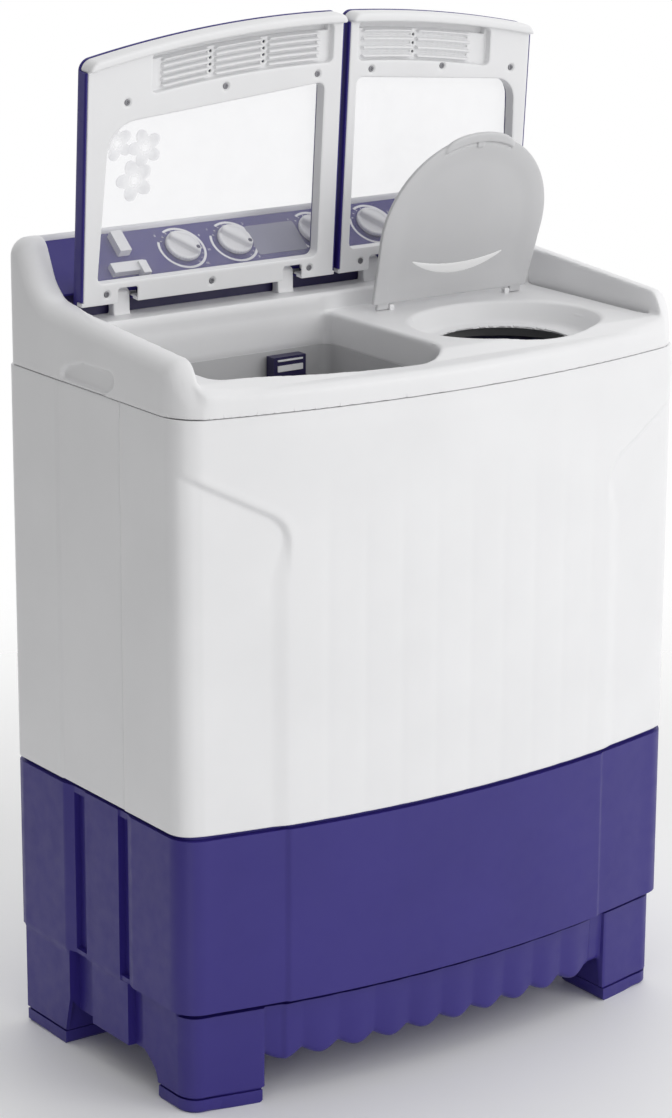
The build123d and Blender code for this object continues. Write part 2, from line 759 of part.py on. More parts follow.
def motor_pulley():
    """Small pulley on the wash motor's shaft."""
    return pulley(WASH_MOTOR_X, MOTOR_PULLEY_RADIUS, MOTOR_PULLEY_ROOT, 5.0)


def drive_belt():
    """Belt in the grooves of both pulleys."""
    inner = RUNNING
    thick = 5.0
    big, small = PULLEY_ROOT + inner, MOTOR_PULLEY_ROOT + inner
    ends = (WASH_MOTOR_X, PULSATOR_X)
    outer_face = hull_of_circles(ends[0], small + thick, ends[1], big + thick, PULSATOR_Y)
    inner_face = hull_of_circles(ends[0], small, ends[1], big, PULSATOR_Y)
    z0, z1 = BELT_BOTTOM + RUNNING, BELT_TOP - RUNNING
    return prism(outer_face, z0, z1) - prism(inner_face, z0 - 1, z1 + 1)


def motor_bracket():
    """Steel plate under the wash tub that carries the gearbox and the wash motor."""
    plate = block(WASH_MOTOR_X - 56, PULSATOR_X + 62, PULSATOR_Y - 60, PULSATOR_Y + 60, 386, 389)
    return plate - rod(PULSATOR_X, PULSATOR_Y, 380, 395, 16)


def wash_motor():
    """Open frame induction motor, hung from the bracket."""
    body = rod(WASH_MOTOR_X, PULSATOR_Y, 306, 386, 50)
    for step in range(8):
        angle = math.radians(45 * step)
        x = WASH_MOTOR_X + 50 * math.cos(angle)
        y = PULSATOR_Y + 50 * math.sin(angle)
        body -= rod(x, y, 322, 370, 6)
    return body - rod(WASH_MOTOR_X, PULSATOR_Y, 300, 360, 5 + RUNNING)


def wash_motor_shaft():
    """Shaft of the wash motor."""
    return rod(WASH_MOTOR_X, PULSATOR_Y, 276, 355, 5)


# Spin side


def spin_tub():
    """Outer tub round the spin basket, with the shaft opening in its floor."""
    body = tube(SPIN_X, SPIN_Y, TUB_FLOOR, SPIN_TUB_TOP, SPIN_TUB_RADIUS, SPIN_TUB_RADIUS - TUB_WALL)
    body += tube(SPIN_X, SPIN_Y, TUB_FLOOR, TUB_FLOOR + 4, SPIN_TUB_RADIUS, 26)
    return body - rod(DUCT_X, DUCT_Y, TUB_FLOOR - 1, TUB_FLOOR + 5, DUCT_BORE + 0.5)


def duct_run():
    """Direction and length of the level run from the drain valve to the spin tub's duct."""
    run_x = DUCT_X - VALVE_X
    run_y = DUCT_Y - VALVE_Y
    turn = math.degrees(math.atan2(run_y, run_x))
    place = Pos(VALVE_X, VALVE_Y, DUCT_Z) * Rot(0, 0, turn) * Rot(0, 90, 0)
    return place, math.hypot(run_x, run_y)


def spin_drain_duct():
    """Elbow that takes the water from the spin tub's floor to the drain valve."""
    place, length = duct_run()
    outer = rod(DUCT_X, DUCT_Y, DUCT_Z - DUCT_RADIUS - 2, TUB_FLOOR, DUCT_RADIUS + 1)
    outer += place * Pos(0, 0, length / 2) * Cylinder(DUCT_RADIUS, length)
    inner = rod(DUCT_X, DUCT_Y, DUCT_Z - DUCT_BORE - 1, TUB_FLOOR + 1, DUCT_BORE + 0.5)
    inner += place * Pos(0, 0, length / 2) * Cylinder(DUCT_BORE, length)
    return outer - inner - rod(VALVE_X, VALVE_Y, VALVE_BOTTOM - 1, TUB_FLOOR + 1, VALVE_RADIUS)


def drain_valve_body():
    """Round valve chamber under the wash tub's drain hole."""
    body = tube(VALVE_X, VALVE_Y, VALVE_BOTTOM, TUB_FLOOR, VALVE_RADIUS, VALVE_RADIUS - 4)
    body += tube(VALVE_X, VALVE_Y, VALVE_BOTTOM, VALVE_BOTTOM + 4, VALVE_RADIUS, 13)
    place, _ = duct_run()
    return body - place * Pos(0, 0, 20) * Cylinder(DUCT_BORE, 20)


def drain_plug():
    """Rubber plug that shuts the wash tub's drain hole from below."""
    head = rod(VALVE_X, VALVE_Y, TUB_FLOOR - 9, TUB_FLOOR - 1, 15)
    return head + rod(VALVE_X, VALVE_Y, TUB_FLOOR - 24, TUB_FLOOR - 9, 5)


def drain_pipe():
    """Pipe inside the base from the valve to the outlet at the back."""
    radius, bore = 14.0, 11.0
    low = SPIGOT_Z
    floor_y = REAR_Y - POCKET_DEPTH

    def run(r, extra):
        path = rod(VALVE_X, VALVE_Y, low, VALVE_BOTTOM + extra, r)
        path += Pos(VALVE_X, VALVE_Y, low) * Sphere(r)
        path += rod_along_y(VALVE_X, low, VALVE_Y, 130, r)
        path += Pos(VALVE_X, 130, low) * Sphere(r)
        path += rod_along_x(130, low, SPIGOT_X, VALVE_X, r)
        path += Pos(SPIGOT_X, 130, low) * Sphere(r)
        path += rod_along_y(SPIGOT_X, low, 130, floor_y - 6 + extra, r)
        return path

    return run(radius, 0) - run(bore, 1)


def drain_outlet():
    """Spigot for the drain hose, set in the pocket at the back."""
    floor_y = REAR_Y - POCKET_DEPTH
    body = rod_along_y(SPIGOT_X, SPIGOT_Z, floor_y, REAR_Y - 4, SPIGOT_RADIUS)
    body += rod_along_y(SPIGOT_X, SPIGOT_Z, floor_y - 3, floor_y, SPIGOT_COLLAR)
    body += rod_along_y(SPIGOT_X, SPIGOT_Z, floor_y - 6, floor_y - 3, SPIGOT_COLLAR + 3)
    return body - rod_along_y(SPIGOT_X, SPIGOT_Z, floor_y - 8, REAR_Y, SPIGOT_BORE)


def spin_basket():
    """Perforated basket with an inward lip and a hub."""
    body = rod(0, 0, 420, 796, BASKET_RADIUS)
    body -= rod(0, 0, 423, 797, BASKET_RADIUS - 2)
    body += tube(0, 0, 793, 796, BASKET_RADIUS, 90)
    body += rod(0, 0, 420, 440, 24)
    body -= rod(0, 0, 419, 436, 9)
    for row in range(5):
        level = 480 + 60 * row
        for step in range(8):
            angle = 22.5 * step + (11.25 if row % 2 else 0)
            hole = Rot(90, 0, 0) * Cylinder(4, 2 * BASKET_RADIUS + 10)
            body -= Pos(0, 0, level) * Rot(0, 0, angle) * hole
    return Pos(SPIN_X, SPIN_Y, 0) * body


def spin_shaft():
    """Shaft from the spin motor up to the basket's hub."""
    return rod(SPIN_X, SPIN_Y, 130, 436, 9)


def bellows_seal():
    """Rubber bellows between the spin tub's floor and the shaft."""
    body = tube(SPIN_X, SPIN_Y, TUB_FLOOR, TUB_FLOOR + 4, 26, 9 + RUNNING)
    for level in range(4):
        radius = 22 if level % 2 else 18
        top = TUB_FLOOR - 6 * level
        body += tube(SPIN_X, SPIN_Y, top - 6, top, radius, 9 + RUNNING)
    return body


def spin_motor():
    """Spin motor with its foot flange, its end plate and the brake's pivot post."""
    body = rod(0, 0, 94, 196, 60) + rod(0, 0, 90, 94, 72) + rod(0, 0, 196, 200, 80)
    for step in range(10):
        body -= Rot(0, 0, 36 * step) * rod(60, 0, 112, 180, 6)
    body -= rod(0, 0, 125, 205, 9 + RUNNING)
    return Pos(SPIN_X, SPIN_Y, 0) * body + rod(*BRAKE_PIVOT, 200, 244, 4)


def motor_mounts():
    """Three sprung rubber mounts under the spin motor."""
    mounts = []
    for step in range(3):
        angle = math.radians(90 + 120 * step)
        x = SPIN_X + 58 * math.cos(angle)
        y = SPIN_Y + 58 * math.sin(angle)
        mount = rod(x, y, FLOOR_TOP, 90, 9)
        for level in range(3):
            mount += rod(x, y, 66 + 8 * level, 70 + 8 * level, 12)
        mounts.append(mount.solid())
    return Compound(children=mounts)


def brake_drum():
    """Brake drum on the spin shaft."""
    body = tube(SPIN_X, SPIN_Y, 212, 240, BRAKE_RADIUS, BRAKE_RADIUS - 5)
    return body + tube(SPIN_X, SPIN_Y, 212, 218, BRAKE_RADIUS, 9)


def brake_lever():
    """Arm with a curved shoe that rests on the drum."""
    x, y = BRAKE_PIVOT
    body = block(x, x + 85, y - 5, y + 5, 220, 232) + rod(x, y, 216, 236, 9)
    body += block(SPIN_X - 12, SPIN_X + 12, SPIN_Y + 30, y, 218, 234)
    body -= rod(SPIN_X, SPIN_Y, 210, 245, BRAKE_RADIUS + BRAKE_GAP)
    return body - rod(x, y, 210, 240, 4 + RUNNING)


def capacitor():
    """Motor capacitor, standing on the base's floor."""
    can = rod(-60, -100, FLOOR_TOP, FLOOR_TOP + 70, 20)
    return can + rod(-60, -100, FLOOR_TOP + 70, FLOOR_TOP + 78, 8)


def lid_switch():
    """Switch under the deck that the spin lid works."""
    return block(295, 313, 95, 125, 822, DECK - COVER_WALL)


def cord_gland():
    """Gland in the back of the base that the mains cord passes through."""
    body = rod_along_y(GLAND_X, GLAND_Z, REAR_Y - BASE_WALL, REAR_Y, GLAND_RADIUS)
    body += rod_along_y(GLAND_X, GLAND_Z, REAR_Y - 9, REAR_Y - BASE_WALL, GLAND_FLANGE)
    return body - rod_along_y(GLAND_X, GLAND_Z, REAR_Y - 12, REAR_Y + 2, GLAND_BORE)


def lid_outline(x0, x1, inset):
    """Lid seen face on: straight foot and sides, bowed free edge."""

    def top(x):
        return LID_LENGTH - inset - LID_BOW * (x / LID_HALF_SPAN) ** 2

    x0, x1 = x0 + inset, x1 - inset
    foot = inset
    middle = (x0 + x1) / 2
    outline = Curve() + [
        Line((x0, foot), (x1, foot)),
        Line((x1, foot), (x1, top(x1))),
        ThreePointArc((x1, top(x1)), (middle, top(middle)), (x0, top(x0))),
        Line((x0, top(x0)), (x0, foot)),
    ]
    face = make_face(outline)
    outer_corner, inner_corner = (x0, x1) if x0 < -100 else (x1, x0)
    face = round_corner(face, (outer_corner, top(outer_corner)), 14.0 - inset)
    return round_corner(face, (inner_corner, top(inner_corner)), 9.0 - inset)


def window(corners, round_at, radius, grow):
    """Window opening, larger all round by grow."""
    face = polygon(corners)
    for index, corner in enumerate(corners):
        face = round_corner(face, corner, radius if index == round_at else 8.0)
    return offset(face, amount=grow) if grow else face


def wash_window(grow):
    """The wash lid's window, with a large curve at its upper left."""
    return window(WASH_WINDOW, 3, 40.0, grow)


def spin_window(grow):
    """The spin lid's window, with a curve at its upper right."""
    return window(SPIN_WINDOW, 2, 28.0, grow)


def notches(posts):
    """Room for the hinge posts at a lid's foot."""
    cuts = [block(x - NOTCH_HALF, x + NOTCH_HALF, -10, 30, -2, NOTCH_HEIGHT) for x in posts]
    return cuts[0] + cuts[1]


def lid_shell(span, opening, posts):
    """Outer skin of a lid with its edge flange and hinge knuckles."""
    outline = lid_outline(*span, 0)
    body = upright_slab(outline, LID_THICK - LID_SKIN, LID_THICK)
    body -= upright_slab(opening, LID_THICK - LID_SKIN - 1, LID_THICK + 1)
    inside = upright_slab(lid_outline(*span, LID_SKIN), 0, LID_THICK + 1)
    body += upright_slab(outline, 1.0, LID_THICK) - inside
    for post in posts:
        reach = NOTCH_HALF + KNUCKLE_WIDTH
        knuckles = rod_along_x(HINGE_W, HINGE_V, post - reach, post + reach, KNUCKLE_RADIUS)
        body += knuckles - block(post - 50, post + 50, 0, LID_THICK - LID_SKIN, -10, 20)
    body -= notches(posts)
    for post in posts:
        body -= rod_along_x(HINGE_W, HINGE_V, post - 25, post + 25, PIN_RADIUS)
    return LID_PLACE * body


def lid_glass(opening):
    """Clear pane held between the frame and the shell."""
    return LID_PLACE * upright_slab(opening, GLASS_FRONT, GLASS_BACK)


def screw_bosses(places):
    """Bosses in a frame that its screws turn into."""
    bosses = None
    for x, v in places:
        boss = rod_along_y(x, v, 1, GLASS_BACK, 5)
        bosses = boss if bosses is None else bosses + boss
    return bosses


def lid_frame(span, opening, collar, posts, screws, slots):
    """Inner frame of a lid: skin, rim, window collar, lip, louvres and screw bosses."""
    outline = lid_outline(*span, LID_SKIN)
    skin = upright_slab(outline, 0, LID_SKIN)
    inside = upright_slab(lid_outline(*span, 2 * LID_SKIN), -1, LID_THICK)
    rim = upright_slab(outline, 0, LID_THICK - LID_SKIN) - inside
    body = skin + rim + upright_slab(collar, 0, GLASS_FRONT)
    body -= upright_slab(opening, -1, LID_THICK)
    below = upright_slab(Pos(0, -LIP_WIDTH) * outline, -LID_LIP - 1, 2)
    lip = upright_slab(outline, -LID_LIP, 1) - below
    body += lip & block(span[0], span[1], -LID_LIP, 2, 150, 320)
    body += screw_bosses(screws)
    for x0, x1, v in slots:
        body -= block(x0, x1, -1, LID_SKIN + 1, v, v + LOUVRE_HEIGHT)
    for x, v in screws:
        body -= rod_along_y(x, v, -1, 2, 3.7)
        body -= rod_along_y(x, v, -1, 14, 2.0)
    body -= notches(posts)
    for post in posts:
        reach = NOTCH_HALF + KNUCKLE_WIDTH + 0.5
        body -= rod_along_x(HINGE_W, HINGE_V, post - reach, post + reach, PIN_RADIUS + 0.5)
    return LID_PLACE * body


def lid_screws(places):
    """Self-tapping screws, heads sunk in the frame."""
    screws = []
    for x, v in places:
        screw = rod_along_y(x, v, 0.5, 2, 3.5) + rod_along_y(x, v, 2, 13, 1.9)
        screws.append((LID_PLACE * screw).solid())
    return Compound(children=screws)


def lid_pins(posts):
    """Hinge pins through the posts, held in the knuckles."""
    pins = []
    for post in posts:
        half = NOTCH_HALF + KNUCKLE_WIDTH
        pin = rod_along_x(HINGE_W, HINGE_V, post - half, post + half, PIN_RADIUS)
        pins.append((LID_PLACE * pin).solid())
    return Compound(children=pins)


def louvres(columns, width, first, last):
    """Slots as (left, right, height), following the free edge's bow."""
    slots = []
    for column in range(columns):
        x0 = first + column * (last - first) / columns
        drop = LID_BOW * ((x0 + width / 2) / LID_HALF_SPAN) ** 2
        for row in range(LOUVRE_ROWS):
            slots.append((x0, x0 + width, 258 + LOUVRE_PITCH * row - drop))
    return slots


def safety_lid():
    """Round-ended inner lid with a pouring slot, two knuckles and their moulded pins."""
    x = SAFETY_X
    outline = Pos(x, SAFETY_CENTRE_V) * Circle(SAFETY_ROUND)
    outline += polygon(
        [
            (x - 112.5, 6),
            (x + 112.5, 6),
            (x + SAFETY_ROUND, SAFETY_CENTRE_V),
            (x - SAFETY_ROUND, SAFETY_CENTRE_V),
        ]
    )
    outline &= Pos(x, 6 + 125) * Rectangle(300, 250)
    slot = Pos(x, 105) * Circle(76) - Pos(x, 121) * Circle(78)
    body = upright_slab(outline.face(), -SAFETY_HALF, SAFETY_HALF)
    body -= upright_slab((slot & Pos(x, 20) * Rectangle(108, 200)).face(), -10, 10)
    for x0, x1 in SAFETY_KNUCKLES:
        body += rod_along_x(0, 0, x0, x1, 2.8)
        body += block(x0, x1, -SAFETY_HALF, SAFETY_HALF, 0, 8)
    for x0, x1 in SAFETY_PINS:
        body += rod_along_x(0, 0, x0, x1, SAFETY_PIN_RADIUS)
    return SAFETY_PLACE * body


def lids():
    """Every node of both outer lids."""
    wash_slots = louvres(3, 64, -212, 14)
    spin_slots = louvres(3, 54, 70, 262)
    return {
        "wash_lid_shell": lid_shell(WASH_LID_X, wash_window(0), WASH_POSTS),
        "wash_lid_glass": lid_glass(wash_window(LID_SKIN)),
        "wash_lid_frame": lid_frame(
            WASH_LID_X, wash_window(0), wash_window(LID_SKIN), WASH_POSTS, WASH_SCREWS, wash_slots
        ),
        "wash_lid_screws": lid_screws(WASH_SCREWS),
        "wash_lid_pins": lid_pins(WASH_POSTS),
        "spin_lid_shell": lid_shell(SPIN_LID_X, spin_window(0), SPIN_POSTS),
        "spin_lid_glass": lid_glass(spin_window(LID_SKIN)),
        "spin_lid_frame": lid_frame(
            SPIN_LID_X, spin_window(0), spin_window(LID_SKIN), SPIN_POSTS, SPIN_SCREWS, spin_slots
        ),
        "spin_lid_screws": lid_screws(SPIN_SCREWS),
        "spin_lid_pins": lid_pins(SPIN_POSTS),
    }


def nodes():
    """Name and solid of every piece."""
    parts = {
        "base": base(),
        "foot_pads": foot_pads(),
        "cabinet_shell": cabinet_shell(),
        "front_panel": front_panel(),
        "rear_cover": rear_cover(),
        "rear_cover_screws": rear_cover_screws(),
        "top_cover": top_cover(),
        "control_panel": control_panel(),
        "inlet_selector": inlet_selector(),
        "inlet_spout": inlet_spout(),
        "water_inlet": water_inlet(),
        "wash_tub": wash_tub(),
        "filter_housing": filter_housing(),
        "lint_filter": lint_filter(),
        "pulsator": pulsator(),
        "pulsator_screw": pulsator_screw(),
        "pulsator_shaft": pulsator_shaft(),
        "pulsator_seal": pulsator_seal(),
        "gearbox": gearbox(),
        "gearbox_pulley": gearbox_pulley(),
        "motor_pulley": motor_pulley(),
        "drive_belt": drive_belt(),
        "motor_bracket": motor_bracket(),
        "wash_motor": wash_motor(),
        "wash_motor_shaft": wash_motor_shaft(),
        "spin_tub": spin_tub(),
        "spin_drain_duct": spin_drain_duct(),
        "drain_valve_body": drain_valve_body(),
        "drain_plug": drain_plug(),
        "drain_pipe": drain_pipe(),
        "drain_outlet": drain_outlet(),
        "spin_basket": spin_basket(),
        "spin_shaft": spin_shaft(),
        "bellows_seal": bellows_seal(),
        "spin_motor": spin_motor(),
        "motor_mounts": motor_mounts(),
        "brake_drum": brake_drum(),
        "brake_lever": brake_lever(),
        "capacitor": capacitor(),
        "lid_switch": lid_switch(),
        "cord_gland": cord_gland(),
        "safety_lid": safety_lid(),
    }
    for name, x in DIALS.items():
        parts[name + "_knob"] = knob(x)
        size = TIMER_SIZE if name.endswith("timer") else SELECTOR_SIZE
        parts[name] = switch_body(x, *size)
    parts.update(lids())
    return parts


os.makedirs("parts", exist_ok=True)
for node_name, solid in nodes().items():
    export_step(solid, f"parts/{node_name}.step")
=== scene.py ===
import json
import math

import bpy
import numpy as np
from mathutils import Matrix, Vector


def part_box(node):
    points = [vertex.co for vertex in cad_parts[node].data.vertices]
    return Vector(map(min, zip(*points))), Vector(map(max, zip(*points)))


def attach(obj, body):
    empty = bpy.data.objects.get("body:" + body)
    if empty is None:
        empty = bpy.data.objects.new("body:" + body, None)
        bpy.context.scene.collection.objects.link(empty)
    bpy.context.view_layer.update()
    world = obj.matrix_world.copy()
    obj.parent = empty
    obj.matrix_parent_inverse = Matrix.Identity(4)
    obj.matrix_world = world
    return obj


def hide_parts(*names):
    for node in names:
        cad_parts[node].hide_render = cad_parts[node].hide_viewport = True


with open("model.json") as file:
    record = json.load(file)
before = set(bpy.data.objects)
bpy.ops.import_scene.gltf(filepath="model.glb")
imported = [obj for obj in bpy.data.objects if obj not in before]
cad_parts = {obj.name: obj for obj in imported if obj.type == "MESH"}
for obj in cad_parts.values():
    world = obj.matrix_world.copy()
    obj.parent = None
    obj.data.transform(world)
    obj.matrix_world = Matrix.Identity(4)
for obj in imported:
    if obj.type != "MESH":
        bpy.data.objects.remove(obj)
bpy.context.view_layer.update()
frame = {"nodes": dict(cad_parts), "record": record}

import openvdb
from mathutils import Matrix, Vector

# Looks of the twin tub washer. Shapes are worked out in millimetres, in the frame of the CAD model,
# and become metres when a mesh is made. X to the right, Y to the rear, Z up.

NODES = frame["nodes"]
METRE = 0.001

# Cabinet outline
HALF_WIDTH = 350.0
REAR_Y = 203.5
FRONT_Y = -203.5
FRONT_BOW = 47.0
FRONT_RADIUS = (HALF_WIDTH**2 + FRONT_BOW**2) / (2 * FRONT_BOW)
FRONT_CORNER = 38.0
REAR_CORNER = 18.0
SIDE_SEAM_Y = -37.5

# Levels
PAD_TOP = 19.0
SKIRT_EDGE = 45.0
SKIRT_TOP = 122.0
BASE_TOP = 333.0
COVER_SEAM = 802.0
COVER_TOP = 948.0
PLATFORM = 838.0
DECK = 856.0

# Top cover
WING_INNER = 315.0
DECK_FRONT = 87.0
PANEL_FOOT = (131.5, 888.0)
PANEL_HEAD = (191.5, 938.0)
PANEL_TILT = math.atan2(PANEL_HEAD[1] - PANEL_FOOT[1], PANEL_HEAD[0] - PANEL_FOOT[0])
PANEL_LENGTH = math.dist(PANEL_FOOT, PANEL_HEAD)
COVER_WALL = 4.0
WASH_X = (-290.0, 15.0)
WASH_RIM = 33.0
SPIN_CENTRE = (160.0, -66.0)
MOUTH_RADIUS = 78.0

# Dials
DIAL_DROP = 34.0
DIALS = {"wash_timer": -134.0, "wash_selector": -62.0, "drain_selector": 53.0, "spin_timer": 138.0}
KNOB_RADIUS = 22.0

# Lids, in a frame on the lid's foot edge: X, thickness W to the rear, height V
LID_FOOT = (103.5, 876.0)
LID_LEAN = math.radians(4.0)
LID_LENGTH = 309.0
LID_BOW = 34.0
LID_SPAN = 312.0
LID_THICK = 21.0
LID_SKIN = 2.5
HINGE_W = 19.7
HINGE_V = 5.4
KNUCKLE_RADIUS = 6.0
NOTCH_HALF = 13.0
NOTCH_HEIGHT = 17.5
WASH_LID = {
    "span": (-308.0, 38.0),
    "posts": (-247.0, -22.0),
    "window": [(-288.0, 25.0), (12.0, 25.0), (12.0, 230.0), (-277.0, 204.0)],
    "radii": [8.0, 8.0, 8.0, 40.0],
    "screws": [(-254, 228), (-124, 236), (2, 240), (-275, 12), (-134, 12), (2, 12)],
    "recess": (-222.0, 22.0),
    "slats": ((-206.0, -146.0), (-136.0, -74.0), (-64.0, 4.0)),
    "slat_rows": 4,
}
SPIN_LID = {
    "span": (44.0, 312.0),
    "posts": (101.0, 268.0),
    "window": [(58.0, 28.0), (296.0, 28.0), (290.0, 212.0), (58.0, 232.0)],
    "radii": [8.0, 8.0, 28.0, 8.0],
    "screws": [(78, 240), (181, 236), (284, 226), (76, 12), (184, 12), (290, 12)],
    "recess": (58.0, 250.0),
    "slats": ((68.0, 138.0), (146.0, 222.0)),
    "slat_rows": 3,
}

# Safety lid, in a frame on its hinge axis
SAFETY_HINGE = (53.0, 841.0)
SAFETY_LEAN = math.radians(16.0)
SAFETY_X = 168.0
SAFETY_RADIUS = 118.0
SAFETY_CENTRE_V = 92.0
SAFETY_KNUCKLES = ((62.0, 78.0), (258.0, 274.0))
SAFETY_PINS = ((77.0, 86.0), (250.0, 259.0))

# Camera: where it stands, in millimetres, and how it looks, in degrees
CAMERA_PLACE = (-2264.0, -3109.5, 1657.0)
CAMERA_YAW = 35.67
CAMERA_DOWN = 15.92
CAMERA_ROLL = 0.25
CAMERA_LENS = 110.4


# Materials


def nodes_of(name):
    """New material with its node tree, surface shader and object coordinates."""
    material = bpy.data.materials.new(name)
    material.use_nodes = True
    tree = material.node_tree
    shader = tree.nodes["Principled BSDF"]
    place = tree.nodes.new("ShaderNodeTexCoord").outputs["Object"]
    return material, tree, shader, place


def feed(tree, node, **values):
    """Set a node's inputs by name; a value that is another node's output is linked."""
    for key, value in values.items():
        socket = node.inputs[key.replace("_", " ")]
        if isinstance(value, bpy.types.NodeSocket):
            tree.links.new(value, socket)
        else:
            socket.default_value = value
    return node


def add_node(tree, kind, **values):
    """New shader node with its inputs set."""
    return feed(tree, tree.nodes.new("ShaderNode" + kind), **values)


def noise(tree, place, scale, detail=3.0, stretch=(1, 1, 1)):
    """Noise value over the object, with an optional stretch along the axes."""
    mapping = add_node(tree, "Mapping", Scale=stretch, Vector=place)
    texture = add_node(tree, "TexNoise", Scale=scale, Detail=detail, Vector=mapping.outputs["Vector"])
    return texture.outputs["Fac"]


def spread(tree, value, low, high):
    """Value remapped from the middle of its range to low and high."""
    remap = add_node(tree, "MapRange", From_Min=0.3, From_Max=0.7, To_Min=low, To_Max=high, Value=value)
    return remap.outputs["Result"]


def blend_colour(tree, share, first, second):
    """Colour between two others."""
    mix = tree.nodes.new("ShaderNodeMix")
    mix.data_type = "RGBA"
    return feed(tree, mix, A=(*first, 1), B=(*second, 1), Factor=share).outputs["Result"]


def bump(tree, height, distance, under=None):
    """Bump from a height, on top of another bump."""
    node = add_node(tree, "Bump", Distance=distance, Height=height)
    if under is not None:
        feed(tree, node, Normal=under)
    return node.outputs["Normal"]


def moulded(name, colour, second, rough, grain):
    """Moulded plastic or rubber: fine grain, slight sink marks, uneven gloss and shade."""
    material, tree, shader, place = nodes_of(name)
    shade = spread(tree, noise(tree, place, 9.0), 0, 1)
    gloss = spread(tree, noise(tree, place, 55.0, 5.0), *rough)
    waves = bump(tree, noise(tree, place, 14.0, 1.0), 0.0006)
    fine = bump(tree, noise(tree, place, 1500.0, 2.0), grain, waves)
    feed(tree, shader, Base_Color=blend_colour(tree, shade, colour, second), Roughness=gloss, Normal=fine)
    return material


def steel(name, colour, rough, along):
    """Drawn or ground metal with a fine lay along one axis."""
    material, tree, shader, place = nodes_of(name)
    lay = noise(tree, place, 900.0, 4.0, along)
    tint = blend_colour(tree, lay, tuple(0.8 * c for c in colour), colour)
    gloss = spread(tree, lay, *rough)
    feed(tree, shader, Metallic=1.0, Base_Color=tint, Roughness=gloss, Normal=bump(tree, lay, 0.00004))
    return material


def painted(name, colour, rough):
    """Painted sheet or lacquered laminations with a faint orange peel and dust."""
    material, tree, shader, place = nodes_of(name)
    dust = spread(tree, noise(tree, place, 20.0, 6.0), 0, 0.6)
    tint = blend_colour(tree, dust, colour, tuple(0.75 * c + 0.25 * 0.4 for c in colour))
    gloss = spread(tree, noise(tree, place, 80.0), *rough)
    peel = bump(tree, noise(tree, place, 420.0, 1.0), 0.0001)
    feed(tree, shader, Base_Color=tint, Roughness=gloss, Normal=peel)
    return material


def cast(name, colour):
    """Cast aluminium: coarse skin, dull and uneven."""
    material, tree, shader, place = nodes_of(name)
    skin = noise(tree, place, 380.0, 6.0)
    tint = blend_colour(tree, skin, tuple(0.6 * c for c in colour), colour)
    gloss = spread(tree, skin, 0.4, 0.65)
    feed(tree, shader, Metallic=0.9, Base_Color=tint, Roughness=gloss, Normal=bump(tree, skin, 0.0003))
    return material


BLOSSOMS = ((-256.0, 180.0, 20.0), (-219.0, 172.0, 22.0), (-232.0, 136.0, 24.0))


def blossom_share(tree, place):
    """1 on a few plain five-petal blossoms near the window's upper left, 0 elsewhere."""
    split = add_node(tree, "SeparateXYZ", Vector=place)

    def maths(kind, a, b=None):
        node = tree.nodes.new("ShaderNodeMath")
        node.operation = kind
        for index, value in enumerate((a, b)):
            if value is None:
                continue
            if isinstance(value, (int, float)):
                node.inputs[index].default_value = value
            else:
                tree.links.new(value, node.inputs[index])
        return node.outputs["Value"]

    total = None
    for x, v, size in BLOSSOMS:
        centre_z = (LID_FOOT[1] + v * math.cos(LID_LEAN)) * METRE
        across = maths("SUBTRACT", split.outputs["X"], x * METRE)
        up = maths("SUBTRACT", split.outputs["Z"], centre_z)
        angle = maths("ARCTAN2", up, across)
        radius = maths("SQRT", maths("ADD", maths("POWER", across, 2.0), maths("POWER", up, 2.0)))
        wave = maths("ABSOLUTE", maths("SINE", maths("MULTIPLY", angle, 2.5)))
        reach = maths("MULTIPLY_ADD", wave, 0.45 * size * METRE)
        reach.node.inputs[2].default_value = 0.55 * size * METRE
        petal = maths("LESS_THAN", radius, reach)
        heart = maths("GREATER_THAN", radius, 0.16 * size * METRE)
        shape = maths("MULTIPLY", maths("MULTIPLY", petal, heart), maths("DIVIDE", radius, size * METRE))
        total = shape if total is None else maths("MAXIMUM", total, shape)
    return total


def clear_pane(name, haze, blossoms=False):
    """Clear plastic: mostly see-through, a faint haze, gloss from the lights."""
    material, tree, shader, place = nodes_of(name)
    ripple = bump(tree, noise(tree, place, 6.0, 1.0), 0.0008)
    feed(tree, shader, Base_Color=(0.86, 0.86, 0.88, 1), Roughness=0.06, Normal=ripple)
    through = add_node(tree, "BsdfTransparent", Color=(0.985, 0.985, 0.99, 1))
    veil = spread(tree, noise(tree, place, 30.0, 4.0), 0.85 * haze, 1.15 * haze)
    if blossoms:
        add = tree.nodes.new("ShaderNodeMath")
        add.operation = "MULTIPLY_ADD"
        add.inputs[1].default_value = 0.55
        tree.links.new(blossom_share(tree, place), add.inputs[0])
        tree.links.new(veil, add.inputs[2])
        veil = add.outputs["Value"]
    mix = add_node(tree, "MixShader", Fac=veil)
    tree.links.new(through.outputs["BSDF"], mix.inputs[1])
    tree.links.new(shader.outputs["BSDF"], mix.inputs[2])
    feed(tree, tree.nodes["Material Output"], Surface=mix.outputs["Shader"])
    return material


